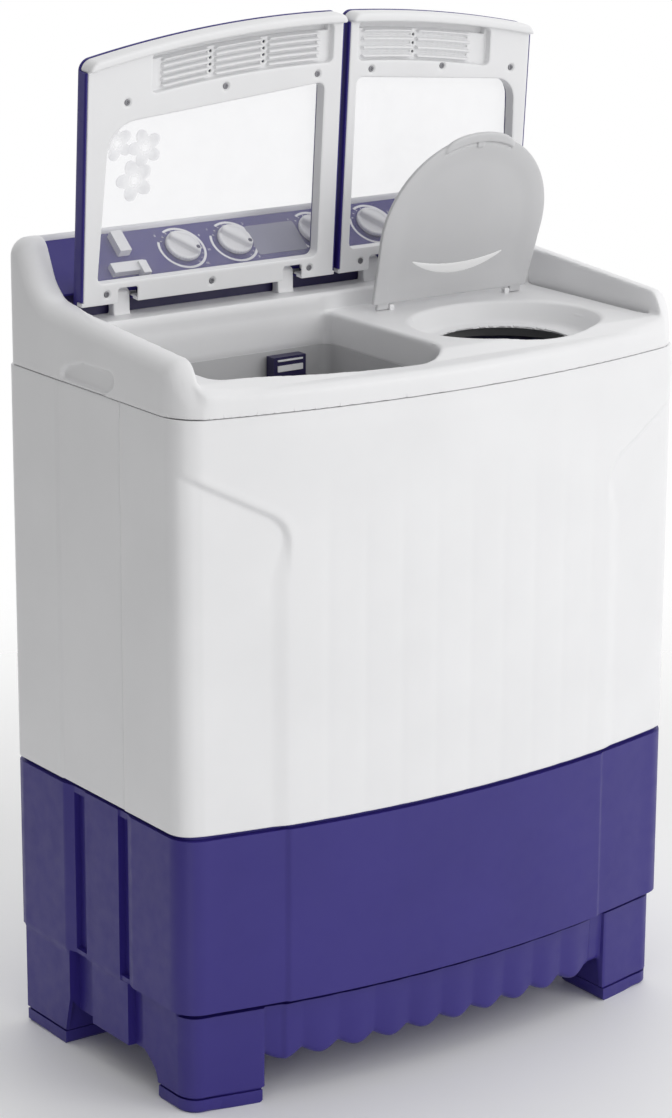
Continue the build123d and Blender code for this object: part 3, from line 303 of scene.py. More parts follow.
# Moulded plastics and rubber: colour, second colour, range of roughness and depth of grain
MOULDED = {
    "purple_plastic": ((0.024, 0.014, 0.18), (0.028, 0.017, 0.195), (0.36, 0.5), 0.00003),
    "white_plastic": ((0.8, 0.8, 0.81), (0.83, 0.83, 0.84), (0.34, 0.46), 0.00002),
    # brightest white: painted light for the sheet in the safety lid's crescent slot
    "slot_light_plastic": ((0.93, 0.93, 0.93), (0.95, 0.95, 0.95), (0.3, 0.42), 0.00002),
    "knob_plastic": ((0.78, 0.78, 0.79), (0.82, 0.82, 0.83), (0.3, 0.42), 0.00003),
    "grey_plastic": ((0.54, 0.54, 0.55), (0.58, 0.58, 0.59), (0.4, 0.55), 0.00006),
    "pale_grey_plastic": ((0.58, 0.58, 0.59), (0.61, 0.61, 0.62), (0.32, 0.45), 0.00003),
    "navy_plastic": ((0.011, 0.007, 0.055), (0.015, 0.009, 0.068), (0.35, 0.5), 0.00005),
    "black_plastic": ((0.018, 0.018, 0.02), (0.028, 0.028, 0.03), (0.4, 0.55), 0.00006),
    "black_rubber": ((0.014, 0.014, 0.014), (0.03, 0.03, 0.03), (0.62, 0.8), 0.0001),
    "panel_print": ((0.78, 0.78, 0.8), (0.84, 0.84, 0.85), (0.4, 0.5), 0.00002),
    "label_print": ((0.2, 0.2, 0.29), (0.22, 0.22, 0.31), (0.35, 0.45), 0.00002),
}
PANE_HAZE = 0.09
MATERIALS = {name: moulded(name, *look) for name, look in MOULDED.items()} | {
    "clear_plastic": clear_pane("clear_plastic", PANE_HAZE),
    "clear_printed": clear_pane("clear_printed", PANE_HAZE, blossoms=True),
    "shaft_steel": steel("shaft_steel", (0.6, 0.6, 0.6), (0.22, 0.4), (1, 1, 0.02)),
    "screw_steel": steel("screw_steel", (0.3, 0.3, 0.32), (0.3, 0.5), (1, 1, 1)),
    "galvanised_steel": steel("galvanised_steel", (0.55, 0.56, 0.57), (0.35, 0.6), (0.1, 0.1, 0.1)),
    "motor_steel": painted("motor_steel", (0.05, 0.05, 0.055), (0.35, 0.55)),
    "grey_sheet": painted("grey_sheet", (0.5, 0.51, 0.53), (0.4, 0.55)),
    "cast_aluminium": cast("cast_aluminium", (0.62, 0.63, 0.64)),
}


# Mesh helpers


def add_piece(name, points, faces, material, body, replaced=(), smooth=30.0):
    """Mesh object from points in millimetres, riding on a body and standing for CAD nodes."""
    mesh = bpy.data.meshes.new(name)
    mesh.from_pydata((np.asarray(points, float) * METRE).tolist(), [], faces)
    mesh.validate()
    piece = bpy.data.objects.new(name, mesh)
    bpy.context.scene.collection.objects.link(piece)
    mesh.materials.append(MATERIALS[material])
    soften(piece, smooth)
    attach(piece, body)
    if replaced:
        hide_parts(*replaced)


def soften(piece, angle):
    """Smooth shading, split where faces meet at more than an angle."""
    mesh = piece.data
    mesh.polygons.foreach_set("use_smooth", [True] * len(mesh.polygons))
    if angle < 180:
        mesh.set_sharp_from_angle(angle=math.radians(angle))
    mesh.update()


class Volume:
    """A block of space sampled at even steps, in which a distance field becomes a mesh."""

    def __init__(self, low, high, step):
        self.low = np.array(low, float)
        self.step = step
        axes = [np.arange(a, b + step, step, dtype=np.float32) for a, b in zip(low, high)]
        self.shape = tuple(len(axis) for axis in axes)
        self.x = axes[0][:, None, None]
        self.y = axes[1][None, :, None]
        self.z = axes[2][None, None, :]

    def surface(self, field, adaptivity=0.0):
        """Points in millimetres and faces where the field is zero; the solid is where it is negative."""
        limit = 3 * self.step
        values = np.broadcast_to(np.clip(field, -limit, limit), self.shape)
        grid = openvdb.FloatGrid(limit)
        grid.copyFromArray(np.array(values, dtype=np.float32, order="C"))
        points, triangles, quads = grid.convertToPolygons(0.0, adaptivity)
        faces = [tuple(reversed(face)) for face in quads.tolist() + triangles.tolist()]
        return points * self.step + self.low, faces


def both(a, b, radius=0.0):
    """Where both solids are, with a rounded edge."""
    if radius <= 0:
        return np.maximum(a, b)
    corner = np.hypot(np.maximum(a + radius, 0), np.maximum(b + radius, 0))
    return np.minimum(np.maximum(a, b), -radius) + corner


def either(a, b, radius=0.0):
    """Where one solid or the other is, with a filleted corner."""
    return -both(-a, -b, radius)


def carve(a, b, radius=0.0):
    """First solid without the second, with a rounded edge."""
    return both(a, -b, radius)


def between(value, low, high):
    """Distance to a slab."""
    return np.maximum(low - value, value - high)


def disc(u, v, centre, radius):
    """Distance to a circle's rim, negative inside."""
    return np.hypot(u - centre[0], v - centre[1]) - radius


def box2(u, v, low, high, radius=0.0):
    """Distance to a rectangle with rounded corners."""
    return both(between(u, low[0], high[0]), between(v, low[1], high[1]), radius)


def rounded(points, radii, steps=8):
    """Outline with its corners replaced by arcs."""
    outline = []
    count = len(points)
    for index, (point, radius) in enumerate(zip(points, radii)):
        corner = np.array(point, float)
        before = np.array(points[index - 1], float) - corner
        after = np.array(points[(index + 1) % count], float) - corner
        before /= np.linalg.norm(before)
        after /= np.linalg.norm(after)
        if radius <= 0:
            outline.append(tuple(corner))
            continue
        half = math.acos(float(np.clip(before @ after, -1, 1))) / 2
        reach = radius / math.tan(half)
        middle = before + after
        centre = corner + middle / np.linalg.norm(middle) * radius / math.sin(half)
        start = corner + before * reach - centre
        end = corner + after * reach - centre
        sweep = math.atan2(start[0] * end[1] - start[1] * end[0], float(start @ end))
        for step in range(steps + 1):
            angle = sweep * step / steps
            cos, sin = math.cos(angle), math.sin(angle)
            turned = (start[0] * cos - start[1] * sin, start[0] * sin + start[1] * cos)
            outline.append((centre[0] + turned[0], centre[1] + turned[1]))
    return outline


def outline_distance(u, v, points):
    """Distance to a closed outline, negative inside."""
    nearest = None
    inside = None
    for (u0, v0), (u1, v1) in zip(points, points[1:] + points[:1]):
        du, dv = u1 - u0, v1 - v0
        length = du * du + dv * dv
        if length < 1e-9:
            continue
        share = np.clip(((u - u0) * du + (v - v0) * dv) / length, 0, 1)
        gap = (u - u0 - share * du) ** 2 + (v - v0 - share * dv) ** 2
        nearest = gap if nearest is None else np.minimum(nearest, gap)
        if dv:
            crossed = ((v0 <= v) != (v1 <= v)) & (u < u0 + (v - v0) * du / dv)
            inside = crossed if inside is None else inside ^ crossed
    distance = np.sqrt(nearest)
    return np.where(inside, -distance, distance)


def step_up(value, start, end):
    """0 before start, 1 after end, smooth between."""
    share = np.clip((value - start) / (end - start), 0, 1)
    return share * share * (3 - 2 * share)


# Cabinet loop: the outline as points with normals, anticlockwise from above, left seam first


def front_corner_centre():
    """Y of the centre of the front corner arcs."""
    across = HALF_WIDTH - FRONT_CORNER
    return FRONT_Y + FRONT_RADIUS - math.sqrt((FRONT_RADIUS - FRONT_CORNER) ** 2 - across**2)


def spaced(start, end, step, marks=()):
    """Values from start to end, no further apart than step, with a pair close about every mark."""
    low, high = min(start, end), max(start, end)
    stops = [low] + sorted(m for m in marks if low < m < high) + [high]
    values = []
    for a, b in zip(stops, stops[1:]):
        count = max(1, math.ceil((b - a) / step))
        values.extend(a + (b - a) * i / count for i in range(count))
    values.append(high)
    return values if end > start else values[::-1]


def near(marks, gap=0.35):
    """Two values close about each mark, so that a step there is steep."""
    return [m + side * gap for m in marks for side in (-1, 1)]


def line_run(x, y_from, y_to, side, step, marks):
    """Straight side of the cabinet, with its normal."""
    return [(side * x, y, side, 0.0) for y in spaced(y_from, y_to, step, marks)]


def arc_run(centre, radius, start, end, step, marks=()):
    """Arc with outward normals; angles in degrees."""
    turn = math.degrees(step / radius)
    angles = [math.radians(a) for a in spaced(start, end, turn, marks)]
    return [
        (centre[0] + radius * math.cos(a), centre[1] + radius * math.sin(a), math.cos(a), math.sin(a))
        for a in angles
    ]


def front_run(step, side_marks, front_marks):
    """From the left seam round the front to the right seam."""
    centre_y = front_corner_centre()
    across = HALF_WIDTH - FRONT_CORNER
    lean = math.degrees(math.asin(across / (FRONT_RADIUS - FRONT_CORNER)))
    bow_centre = (0, FRONT_Y + FRONT_RADIUS)
    angle_marks = [-90 + math.degrees(math.asin(x / FRONT_RADIUS)) for x in front_marks]
    run = line_run(HALF_WIDTH, SIDE_SEAM_Y, centre_y, -1, step, side_marks)
    run += arc_run((-across, centre_y), FRONT_CORNER, 180, 270 - lean, step)[1:]
    run += arc_run(bow_centre, FRONT_RADIUS, -90 - lean, -90 + lean, step, angle_marks)[1:]
    run += arc_run((across, centre_y), FRONT_CORNER, -90 + lean, 0, step)[1:]
    run += line_run(HALF_WIDTH, centre_y, SIDE_SEAM_Y, 1, step, side_marks)[1:]
    return run


def rear_run(step, side_marks, rear_marks):
    """From the right seam round the back to the left seam."""
    across = HALF_WIDTH - REAR_CORNER
    centre_y = REAR_Y - REAR_CORNER
    run = line_run(HALF_WIDTH, SIDE_SEAM_Y, centre_y, 1, step, side_marks)
    run += arc_run((across, centre_y), REAR_CORNER, 0, 90, step)[1:]
    run += [(x, REAR_Y, 0.0, 1.0) for x in spaced(across, -across, step, rear_marks)][1:]
    run += arc_run((-across, centre_y), REAR_CORNER, 90, 180, step)[1:]
    run += line_run(HALF_WIDTH, centre_y, SIDE_SEAM_Y, -1, step, side_marks)[1:]
    return run


def wall_mesh(run, levels, depth, thick, closed=False):
    """Points and faces of a wall: outer skin set in by depth(x, y, nx, ny, z), inner skin behind it.
    levels is one column of heights or one column for each point of the run."""
    run = np.array(run, float)
    columns = len(run)
    levels = np.array(levels, float)
    if levels.ndim == 1:
        levels = np.tile(levels, (columns, 1))
    rows = levels.shape[1]
    x, y, nx, ny = (run[:, i][:, None] + 0 * levels for i in range(4))
    inset = depth(x, y, nx, ny, levels)
    outer = np.stack([x - nx * inset, y - ny * inset, levels], -1).reshape(-1, 3)
    deep = inset + thick
    inner = np.stack([x - nx * deep, y - ny * deep, levels], -1).reshape(-1, 3)
    back = columns * rows
    faces = []
    last = columns if closed else columns - 1
    for i in range(last):
        a, b = i * rows, (i + 1) % columns * rows
        for j in range(rows - 1):
            faces.append((a + j, b + j, b + j + 1, a + j + 1))
            faces.append((back + a + j + 1, back + b + j + 1, back + b + j, back + a + j))
        top = rows - 1
        faces.append((a + top, b + top, back + b + top, back + a + top))
        faces.append((b, a, back + a, back + b))
    if not closed:
        end = (columns - 1) * rows
        for j in range(rows - 1):
            faces.append((j + 1, back + j + 1, back + j, j))
            faces.append((end + j, back + end + j, back + end + j + 1, end + j + 1))
    return np.vstack([outer, inner]), faces


def rolled(distance, radius):
    """How far a rounded edge falls back at a distance from the edge."""
    inside = np.clip(radius - distance, 0, radius)
    return radius - np.sqrt(radius**2 - inside**2)


# Front panel and rear shell

CREASE_X = 224.0
CREASE_CORNER_Z = 679.3
CREASE_SLOPE = math.atan2(746.0 - 679.3, 350.0 - 224.0)
CREASE_ROUND = 23.0
CREASE_DEPTH = 3.2
SEAM_GAP = 0.9
REAR_ZONE_Y = 93.5
ROLLED_MARKS = [BASE_TOP + 0.4, BASE_TOP + 1.5, COVER_SEAM - 1.5, COVER_SEAM - 0.4]
WALL_THICK = 3.5


def past_crease(x, z):
    """How far a point of the front lies outside and below the crease; negative on the centre field."""
    outside = np.abs(x) - CREASE_X
    below = (CREASE_CORNER_Z - z) * math.cos(CREASE_SLOPE) + outside * math.sin(CREASE_SLOPE)
    share = np.clip(0.5 + (below - outside) / (2 * CREASE_ROUND), 0, 1)
    mixed = below + (outside - below) * share
    return mixed - CREASE_ROUND * share * (1 - share)


def crease_depth(x, z):
    """Set-back of the wings: steep at the crease, easing off towards the corners."""
    past = past_crease(x, z)
    towards_corner = 1 - step_up(np.abs(x), 326, 350)
    slanted = step_up(z, 610, 680)
    width = 3.5 + 20.0 * (1 - slanted)
    step = CREASE_DEPTH * step_up(past, -0.5, width)
    scoop = 2.2 * np.exp(-np.clip(past, 0, None) / 18.0) * step_up(past, 0, 3.5) * slanted
    lip = 0.5 * np.exp(-((past + 4.0) / 4.0) ** 2) * slanted
    return (step + scoop - lip + 0.5) * towards_corner


def front_depth(x, y, nx, ny, z):
    """Set-back of the white front: crease, faint flutes, rolled edges and a roll at the side seams."""
    facing = step_up(-ny, 0.3, 0.6)
    field = 1 - step_up(np.abs(x), 190, 222)
    flutes = 0.5 * (0.5 + 0.5 * np.cos(2 * math.pi * (x - 10.0) / 47.0)) ** 5
    flutes *= field * (1 - step_up(z, 600, 780))
    depth = crease_depth(x, z) * facing + flutes + 1.2 * step_up(z, 775, 798)
    seam = SIDE_SEAM_Y - SEAM_GAP - y
    depth += rolled(np.where(np.abs(nx) > 0.99, seam, 9), 1.6)
    depth += rolled(z - BASE_TOP, 1.5) + rolled(COVER_SEAM - z, 1.0)
    return depth


def make_front():
    run = front_run(2.6, (-40.4, -39.6, -38.9), ())
    run[0] = (-HALF_WIDTH, SIDE_SEAM_Y - SEAM_GAP, -1.0, 0.0)
    run[-1] = (HALF_WIDTH, SIDE_SEAM_Y - SEAM_GAP, 1.0, 0.0)
    levels = spaced(BASE_TOP, COVER_SEAM, 2.6, ROLLED_MARKS)
    points, faces = wall_mesh(run, levels, front_depth, WALL_THICK)
    add_piece("front_panel_shell", points, faces, "white_plastic", "cabinet", ("front_panel",), 50)


PLATE_HALF = 210.0
PLATE_Z = (360.0, 760.0)
PLATE_LAP = 20


def shell_depth(x, y, nx, ny, z):
    """Set-back of the rear shell: the middle of each side, the service plate's seat and rolled edges."""
    side = (np.abs(nx) > 0.7) * (1 - step_up(y, REAR_ZONE_Y - 1.2, REAR_ZONE_Y + 1.2))
    depth = 1.3 * side
    rear = ny > 0.99
    on_plate = box2(x, z, (-PLATE_HALF, PLATE_Z[0]), (PLATE_HALF, PLATE_Z[1]))
    depth += np.where(rear & (on_plate < 0), 2.05, 0)
    depth += np.where(rear & (on_plate < -PLATE_LAP), 14.0, 0)
    ribs = 0.7 * (0.5 + 0.5 * np.cos(2 * math.pi * x / 35.0)) ** 3
    depth += np.where(rear & (on_plate > 8) & (np.abs(x) < 300), ribs * step_up(z, 345, 352), 0)
    seam = y - SIDE_SEAM_Y - SEAM_GAP
    depth += rolled(np.where(np.abs(nx) > 0.99, seam, 9), 1.6)
    depth += rolled(z - BASE_TOP, 1.5) + rolled(COVER_SEAM - z, 1.5)
    return depth


def make_shell():
    edges = (PLATE_HALF, PLATE_HALF - PLATE_LAP)
    rear_marks = near([side * e for e in edges for side in (-1, 1)])
    run = rear_run(4.0, [-36.1, -35.4, -34.6] + near([REAR_ZONE_Y], 1.2), rear_marks)
    run[0] = (HALF_WIDTH, SIDE_SEAM_Y + SEAM_GAP, 1.0, 0.0)
    run[-1] = (-HALF_WIDTH, SIDE_SEAM_Y + SEAM_GAP, -1.0, 0.0)
    marks = near([PLATE_Z[0], PLATE_Z[0] + PLATE_LAP, PLATE_Z[1] - PLATE_LAP, PLATE_Z[1]])
    levels = spaced(BASE_TOP, COVER_SEAM, 5.0, marks + ROLLED_MARKS)
    points, faces = wall_mesh(run, levels, shell_depth, WALL_THICK)
    add_piece("rear_shell", points, faces, "white_plastic", "cabinet", ("cabinet_shell",), 40)


# Base

FLUTE_PITCH = 47.0
FLUTE_FIRST = 10.0
FLUTE_RANGE = (-248.5, 221.5)
FOOT_INNER = 250.0
REAR_FOOT_Y = 98.0
FRONT_FOOT_Y = -56.0
RECESS_LOW = ((43.0, 87.0), (-56.0, -35.0))
SLOTS = ((52.5, 76.5), (-37.5, -19.5))
SLOT_Z = (128.0, 320.0)
POCKET_X = (-255.0, -175.0)
POCKET_Z = (130.0, 205.0)
GLAND = (250.0, 230.0)
GLAND_HALF = 6.5
BASE_SET = 1.3
STEP_SHADE = SKIRT_TOP - 7.0
SEAM_SHADE = BASE_TOP - 4.8
PAD_GAP = 3.4


def lobe(x):
    """1 in the middle of a flute's lobe, 0 in the notch between two."""
    wave = (0.5 + 0.5 * np.cos(2 * math.pi * (x - FLUTE_FIRST) / FLUTE_PITCH)) ** 0.6
    return np.where((x > FLUTE_RANGE[0]) & (x < FLUTE_RANGE[1]), wave, 0)


def base_depth(x, y, nx, ny, z):
    """Set-back of the purple base all round."""
    side = np.abs(nx) > 0.99
    rear = ny > 0.5
    front = step_up(-ny, 0.6, 0.95)
    low = 1 - step_up(z, SKIRT_TOP - 0.5, SKIRT_TOP + 0.5)
    wing = 2.6 * step_up(np.abs(x) - CREASE_X, -1, 5) * (1 - step_up(np.abs(x), 300, 349))
    depth = BASE_SET + wing * front
    # side zones above the lower skirt
    slope_rear = np.clip((REAR_ZONE_Y - y) / (REAR_ZONE_Y - SLOTS[0][1]), 0, 1)
    slope_front = np.clip((y + 49.5) / (49.5 + SLOTS[1][0]), 0, 1)
    panel = 3.4
    zone = np.where(y > 0, 0.2 + 4.8 * slope_rear, BASE_SET + 3.7 * slope_front)
    zone = np.where((y < SLOTS[0][0]) & (y > SLOTS[1][1]), panel, zone)
    for y0, y1 in SLOTS:
        zone = np.where(box2(y, z, (y0, SLOT_Z[0]), (y1, SLOT_Z[1])) < 0, 12.0, zone)
    # side zones of the lower skirt
    lower = np.where(y < FRONT_FOOT_Y, 9.5, panel + 0.6)
    lower = np.where(y > RECESS_LOW[0][1], 0.8, lower)
    for y0, y1 in RECESS_LOW:
        lower = np.where((y > y0) & (y < y1), 14.0, lower)
    lower = lower + rolled(np.where((y > y0) & (y < RECESS_LOW[0][0]), z - SKIRT_EDGE, 9), 2.0)
    sides = zone + (lower - zone) * low
    depth = np.where(side, sides, depth + 8.4 * low * (1 - rear))
    corner = (np.abs(nx) <= 0.99) & rear
    share = step_up(ny, 0.0, 1.0)
    depth = np.where(corner, 0.3 + low * (0.6 + 8.0 * share), depth)
    # flutes of the front's lower skirt
    height = np.clip((SKIRT_TOP - z) / (SKIRT_TOP - SKIRT_EDGE), 0, 1)
    within = step_up(FOOT_INNER - np.abs(x), -1, 1)
    flutes = 2.6 + (0.8 + 3.4 * height) * (1 - lobe(x))
    depth += np.where(ny < -0.9, low * within * flutes, 0)
    edge = z - skirt_edge(x, y, nx, ny)
    on_skirt = (ny < -0.9) & (np.abs(x) < FOOT_INNER - 1) & (low > 0.5)
    depth += np.where(on_skirt, rolled(edge, 7.0), 0)
    # drain pocket
    pocket = box2(x, z, (POCKET_X[0], POCKET_Z[0]), (POCKET_X[1], POCKET_Z[1]))
    depth = np.where((ny > 0.99) & (pocket < 0), 34.0, depth)
    behind_gland = np.maximum(np.abs(x - GLAND[0]), np.abs(z - GLAND[1])) < GLAND_HALF
    depth = np.where((ny > 0.99) & behind_gland, 26.0, depth)
    depth += 6.0 * step_up(z, SEAM_SHADE - 0.4, SEAM_SHADE + 0.4) * (ny < 0.99)
    under_step = step_up(z, STEP_SHADE - 0.3, STEP_SHADE + 0.3) * low
    depth += 9.0 * under_step * step_up(-ny, 0.0, 0.3)
    return depth


def skirt_edge(x, y, nx, ny):
    """Height of the base's lower edge, above the pads."""
    front = np.where(np.abs(x) > FOOT_INNER, PAD_TOP, 54.5 - 8.5 * lobe(x))
    rear = np.where(np.abs(x) > FOOT_INNER, PAD_TOP, SKIRT_EDGE)
    cut = np.clip((y + 88.0) / 32.0, 0, 1)
    side = np.where(y < FRONT_FOOT_Y, PAD_TOP + 33.0 * np.sqrt(cut), 46.0)
    side = np.where(y < -88.0, PAD_TOP, side)
    lean = np.clip((REAR_FOOT_Y - y) / (REAR_FOOT_Y - RECESS_LOW[0][1]), 0, 1)
    side = np.where(y > RECESS_LOW[0][1], PAD_TOP + 45.0 * lean, side)
    on_side = np.abs(nx) > 0.99
    return np.where(on_side, side, np.where(ny < -0.1, front, rear))


def base_levels(run):
    """Column of heights at every point of the run, ending at the lower edge."""
    run = np.array(run, float)
    x, y, nx, ny = (run[:, i] for i in range(4))
    edge = skirt_edge(x, y, nx, ny)
    marks = near([*SLOT_Z, *POCKET_Z, GLAND[1] - GLAND_HALF, GLAND[1] + GLAND_HALF])
    marks += [SEAM_SHADE - 0.4, SEAM_SHADE + 0.4]
    upper = np.array(spaced(SKIRT_TOP + 0.5, BASE_TOP, 6.0, marks))
    shares = np.linspace(0, 1, 26) ** 1.35
    lower = edge[:, None] + (STEP_SHADE - 0.4 - edge[:, None]) * shares[None, :]
    lower = np.hstack([lower, np.tile([STEP_SHADE + 0.4, SKIRT_TOP - 0.5], (len(run), 1))])
    return np.hstack([lower, np.tile(upper, (len(run), 1))])


def make_base():
    side_marks = near([SLOTS[0][0], SLOTS[0][1], SLOTS[1][0], SLOTS[1][1]])
    side_marks += near([RECESS_LOW[0][0], RECESS_LOW[0][1], RECESS_LOW[1][0] + 1.5, RECESS_LOW[1][1]])
    side_marks += [REAR_ZONE_Y, -49.5, REAR_FOOT_Y, -88.0, -84.0]
    front_marks = near([-FOOT_INNER, FOOT_INNER], 0.5)
    rear_marks = near([-FOOT_INNER, FOOT_INNER, *POCKET_X, GLAND[0] - GLAND_HALF, GLAND[0] + GLAND_HALF])
    run = front_run(2.4, side_marks, front_marks)
    run += rear_run(4.0, side_marks, rear_marks)[1:-1]
    points, faces = wall_mesh(run, base_levels(run), base_depth, 4.5, closed=True)
    add_piece("base_skirt", points, faces, "purple_plastic", "cabinet", ("base",), 40)
    return run


def leg_outline(side, end, within):
    """Plan of one corner leg, set in from the skirt's skin by a distance."""
    if end == "front":
        inner_y = -88.0
        run = [p for p in front_run(3.0, (), (-FOOT_INNER, FOOT_INNER)) if p[1] < inner_y]
    else:
        inner_y = REAR_FOOT_Y
        run = [p for p in rear_run(3.0, (), (-FOOT_INNER, FOOT_INNER)) if p[1] > inner_y]
    run = [p for p in run if p[0] * side > FOOT_INNER + 0.5]
    x, y, nx, ny = np.array(run).T
    inset = base_depth(x, y, nx, ny, np.full_like(x, 60.0)) + within
    outline = list(zip(x - nx * inset, y - ny * inset))
    outline.append((side * (FOOT_INNER + 0.5), inner_y))
    flat = np.array(outline)
    centre = flat.mean(0)
    turn = np.arctan2(flat[:, 1] - centre[1], flat[:, 0] - centre[0])
    return flat[np.argsort(turn)]


def prism(outline, low, high, chamfer=0.0):
    """Points and faces of an upright prism, with a chamfer at its bottom edge."""
    flat = np.array(outline, float)
    centre = flat.mean(0)
    shrunk = flat + (centre - flat) / np.linalg.norm(centre - flat, axis=1)[:, None] * chamfer
    rings = [(flat, low + chamfer), (flat, high)]
    if chamfer:
        rings.insert(0, (shrunk, low))
    points = np.vstack([np.column_stack([ring, np.full(len(ring), z)]) for ring, z in rings])
    count = len(outline)
    faces = [tuple(range(count))[::-1]]
    for level in range(len(rings) - 1):
        for i in range(count):
            a, b = level * count + i, level * count + (i + 1) % count
            faces.append((a, b, b + count, a + count))
    faces.append(tuple(range((len(rings) - 1) * count, len(rings) * count)))
    return points, faces


LEGS = [(side, end) for side in (-1, 1) for end in ("front", "rear")]


def make_feet():
    """Solid legs inside the skirt's corners and the pads under them."""
    for side, end in LEGS:
        outline = leg_outline(side, end, 3.0)
        name = f"leg_{end}_{'left' if side < 0 else 'right'}"
        points, faces = prism(outline, PAD_TOP - PAD_GAP, 60.0, 1.5)
        add_piece(name, points, faces, "purple_plastic", "cabinet", ("base",))
        points, faces = prism(leg_outline(side, end, 0.8), 0.0, PAD_TOP - PAD_GAP, 3.0)
        add_piece(name.replace("leg", "pad"), points, faces, "purple_plastic", "cabinet", ("foot_pads",))


def make_base_floor(run):
    """Flat floor inside the base."""
    run = np.array(run)
    flat = run[:, :2] - run[:, 2:] * 20.0
    points, faces = prism(flat, 58.0, 62.0)
    add_piece("base_floor", points, faces, "purple_plastic", "cabinet", ("base",))


# Top cover


def cabinet_distance(x, y):
    """Distance to the cabinet's outline in plan."""
    bow = disc(x, y, (0, FRONT_Y + FRONT_RADIUS), FRONT_RADIUS)
    sides = both(np.abs(x) - HALF_WIDTH, y - REAR_Y, REAR_CORNER)
    return both(sides, bow, FRONT_CORNER)


def wash_distance(x, y, grow=0.0):
    """Distance to the wash tub's outline in plan."""
    bow = disc(x, y, (0, FRONT_Y + FRONT_RADIUS), FRONT_RADIUS - WASH_RIM + grow)
    left = both(WASH_X[0] - grow - x, y - DECK_FRONT - grow, 12)
    left = both(left, bow, 12)
    right = both(x - WASH_X[1] - grow, y - DECK_FRONT - grow, 12)
    return np.maximum(left, both(right, bow, 60))


def on_panel(y, z):
    """How far along the panel's slope and out from it a point lies."""
    cos, sin = math.cos(PANEL_TILT), math.sin(PANEL_TILT)
    dy, dz = y - PANEL_FOOT[0], z - PANEL_FOOT[1]
    return dy * cos + dz * sin, dz * cos - dy * sin


WING_SIDE = [
    (REAR_Y, 760),
    (REAR_Y, COVER_TOP),
    (166, COVER_TOP),
    (136, 884),
    (-138, 864),
    (-168, 830),
    (-240, 830),
    (-240, 760),
]
WING_RADII = [0, 22, 18, 45, 24, 12, 0, 0]
WING_ROUND = 22.0
DECK_LOOK = 860.0
RECESS_SIDE = [
    (-260, 830.0),
    (-172, 830.0),
    (-167, 832.0),
    (-150, PLATFORM),
    (DECK_FRONT, PLATFORM),
    (DECK_FRONT, DECK_LOOK),
    (134.5, DECK_LOOK),
    (134.5, 886.6),
    (193.4, 935.7),
    (193.4, 1000),
    (-260, 1000),
]
BOWL_DEPTH = 24.0
HAND_HOLD = [(90, 806), (73, 822), (40, 831), (-22, 832), (-35, 821), (-8, 805)]
INLET = (262.0, 892.0)


def cover_solid(x, y, z):
    """Distance to the top cover as a solid block with every recess cut in it."""
    outside = cabinet_distance(x, y)
    profile = outline_distance(y, z, rounded(WING_SIDE, WING_RADII))
    inner_face = WING_INNER + 6 * (1 - step_up(y, 60, 110)) - np.abs(x)
    wings = both(both(outside, profile, WING_ROUND), inner_face, 3)
    recess = outline_distance(y, z, rounded(RECESS_SIDE, [0, 3, 6, 8, 2, 3, 2, 0, 0, 0, 0]))
    middle = carve(both(y - REAR_Y, z - COVER_TOP, 18), recess, 2.5)
    middle = np.maximum(middle, np.abs(x) - WING_INNER - 12 * step_up(-y, 120, 160))
    solid = either(wings, both(outside, middle, 10), 4)
    drop = np.clip((PLATFORM - z) / BOWL_DEPTH, 0, 1)
    half_x, half_y = 119 - 22 * drop, 97 - 11 * drop
    off_x, off_y = x - SPIN_CENTRE[0], y - SPIN_CENTRE[1]
    dish = (np.hypot(off_x / half_x, off_y / half_y) - 1) * half_y
    solid = carve(solid, both(dish, PLATFORM - BOWL_DEPTH - z, 4), 3)
    solid = carve(solid, np.hypot(off_x, off_y) - MOUTH_RADIUS, 2)
    solid = carve(solid, wash_distance(x, y), 4)
    hold = outline_distance(y, z, rounded(HAND_HOLD, [5, 10, 16, 12, 10, 5]))
    solid = carve(solid, both(hold, HALF_WIDTH - 6 - np.abs(x), 3), 3)
    pocket = box2(x, z, (INLET[0] - 26, INLET[1] - 26), (INLET[0] + 26, INLET[1] + 26), 5)
    solid = carve(solid, both(pocket, REAR_Y - 24 - y, 3), 2)
    return solid


def make_cover():
    space = Volume((-353, -207, 796), (353, 207, 951), 2.0)
    x, y, z = space.x, space.y, space.z
    solid = cover_solid(x, y, z)
    shell = np.maximum(solid, -(solid + COVER_WALL))
    along, out = on_panel(y, z)
    for dial in DIALS.values():
        stem = np.maximum(disc(x, along, (dial, PANEL_LENGTH - DIAL_DROP), 5.5), np.abs(out) - 14)
        shell = np.maximum(shell, -stem)
    under_bowl = z - (PLATFORM - BOWL_DEPTH - COVER_WALL)
    shell = np.maximum(shell, -np.maximum(disc(x, y, SPIN_CENTRE, MOUTH_RADIUS + 8), under_bowl))
    tail = np.maximum(disc(x, z, INLET, 15.5), 165 - y)
    shell = np.maximum(shell, -tail)
    floor = np.where(wash_distance(x, y) < 8, 798.4, COVER_SEAM + 0.5)
    shell = np.maximum(shell, floor - z)
    points, faces = space.surface(shell, 0.02)
    add_piece("top_cover_shell", points, faces, "white_plastic", "cabinet", ("top_cover",), 40)


POST_HALF = 11.0
SAFETY_EARS = ((79.0, 86.0), (250.0, 257.0))


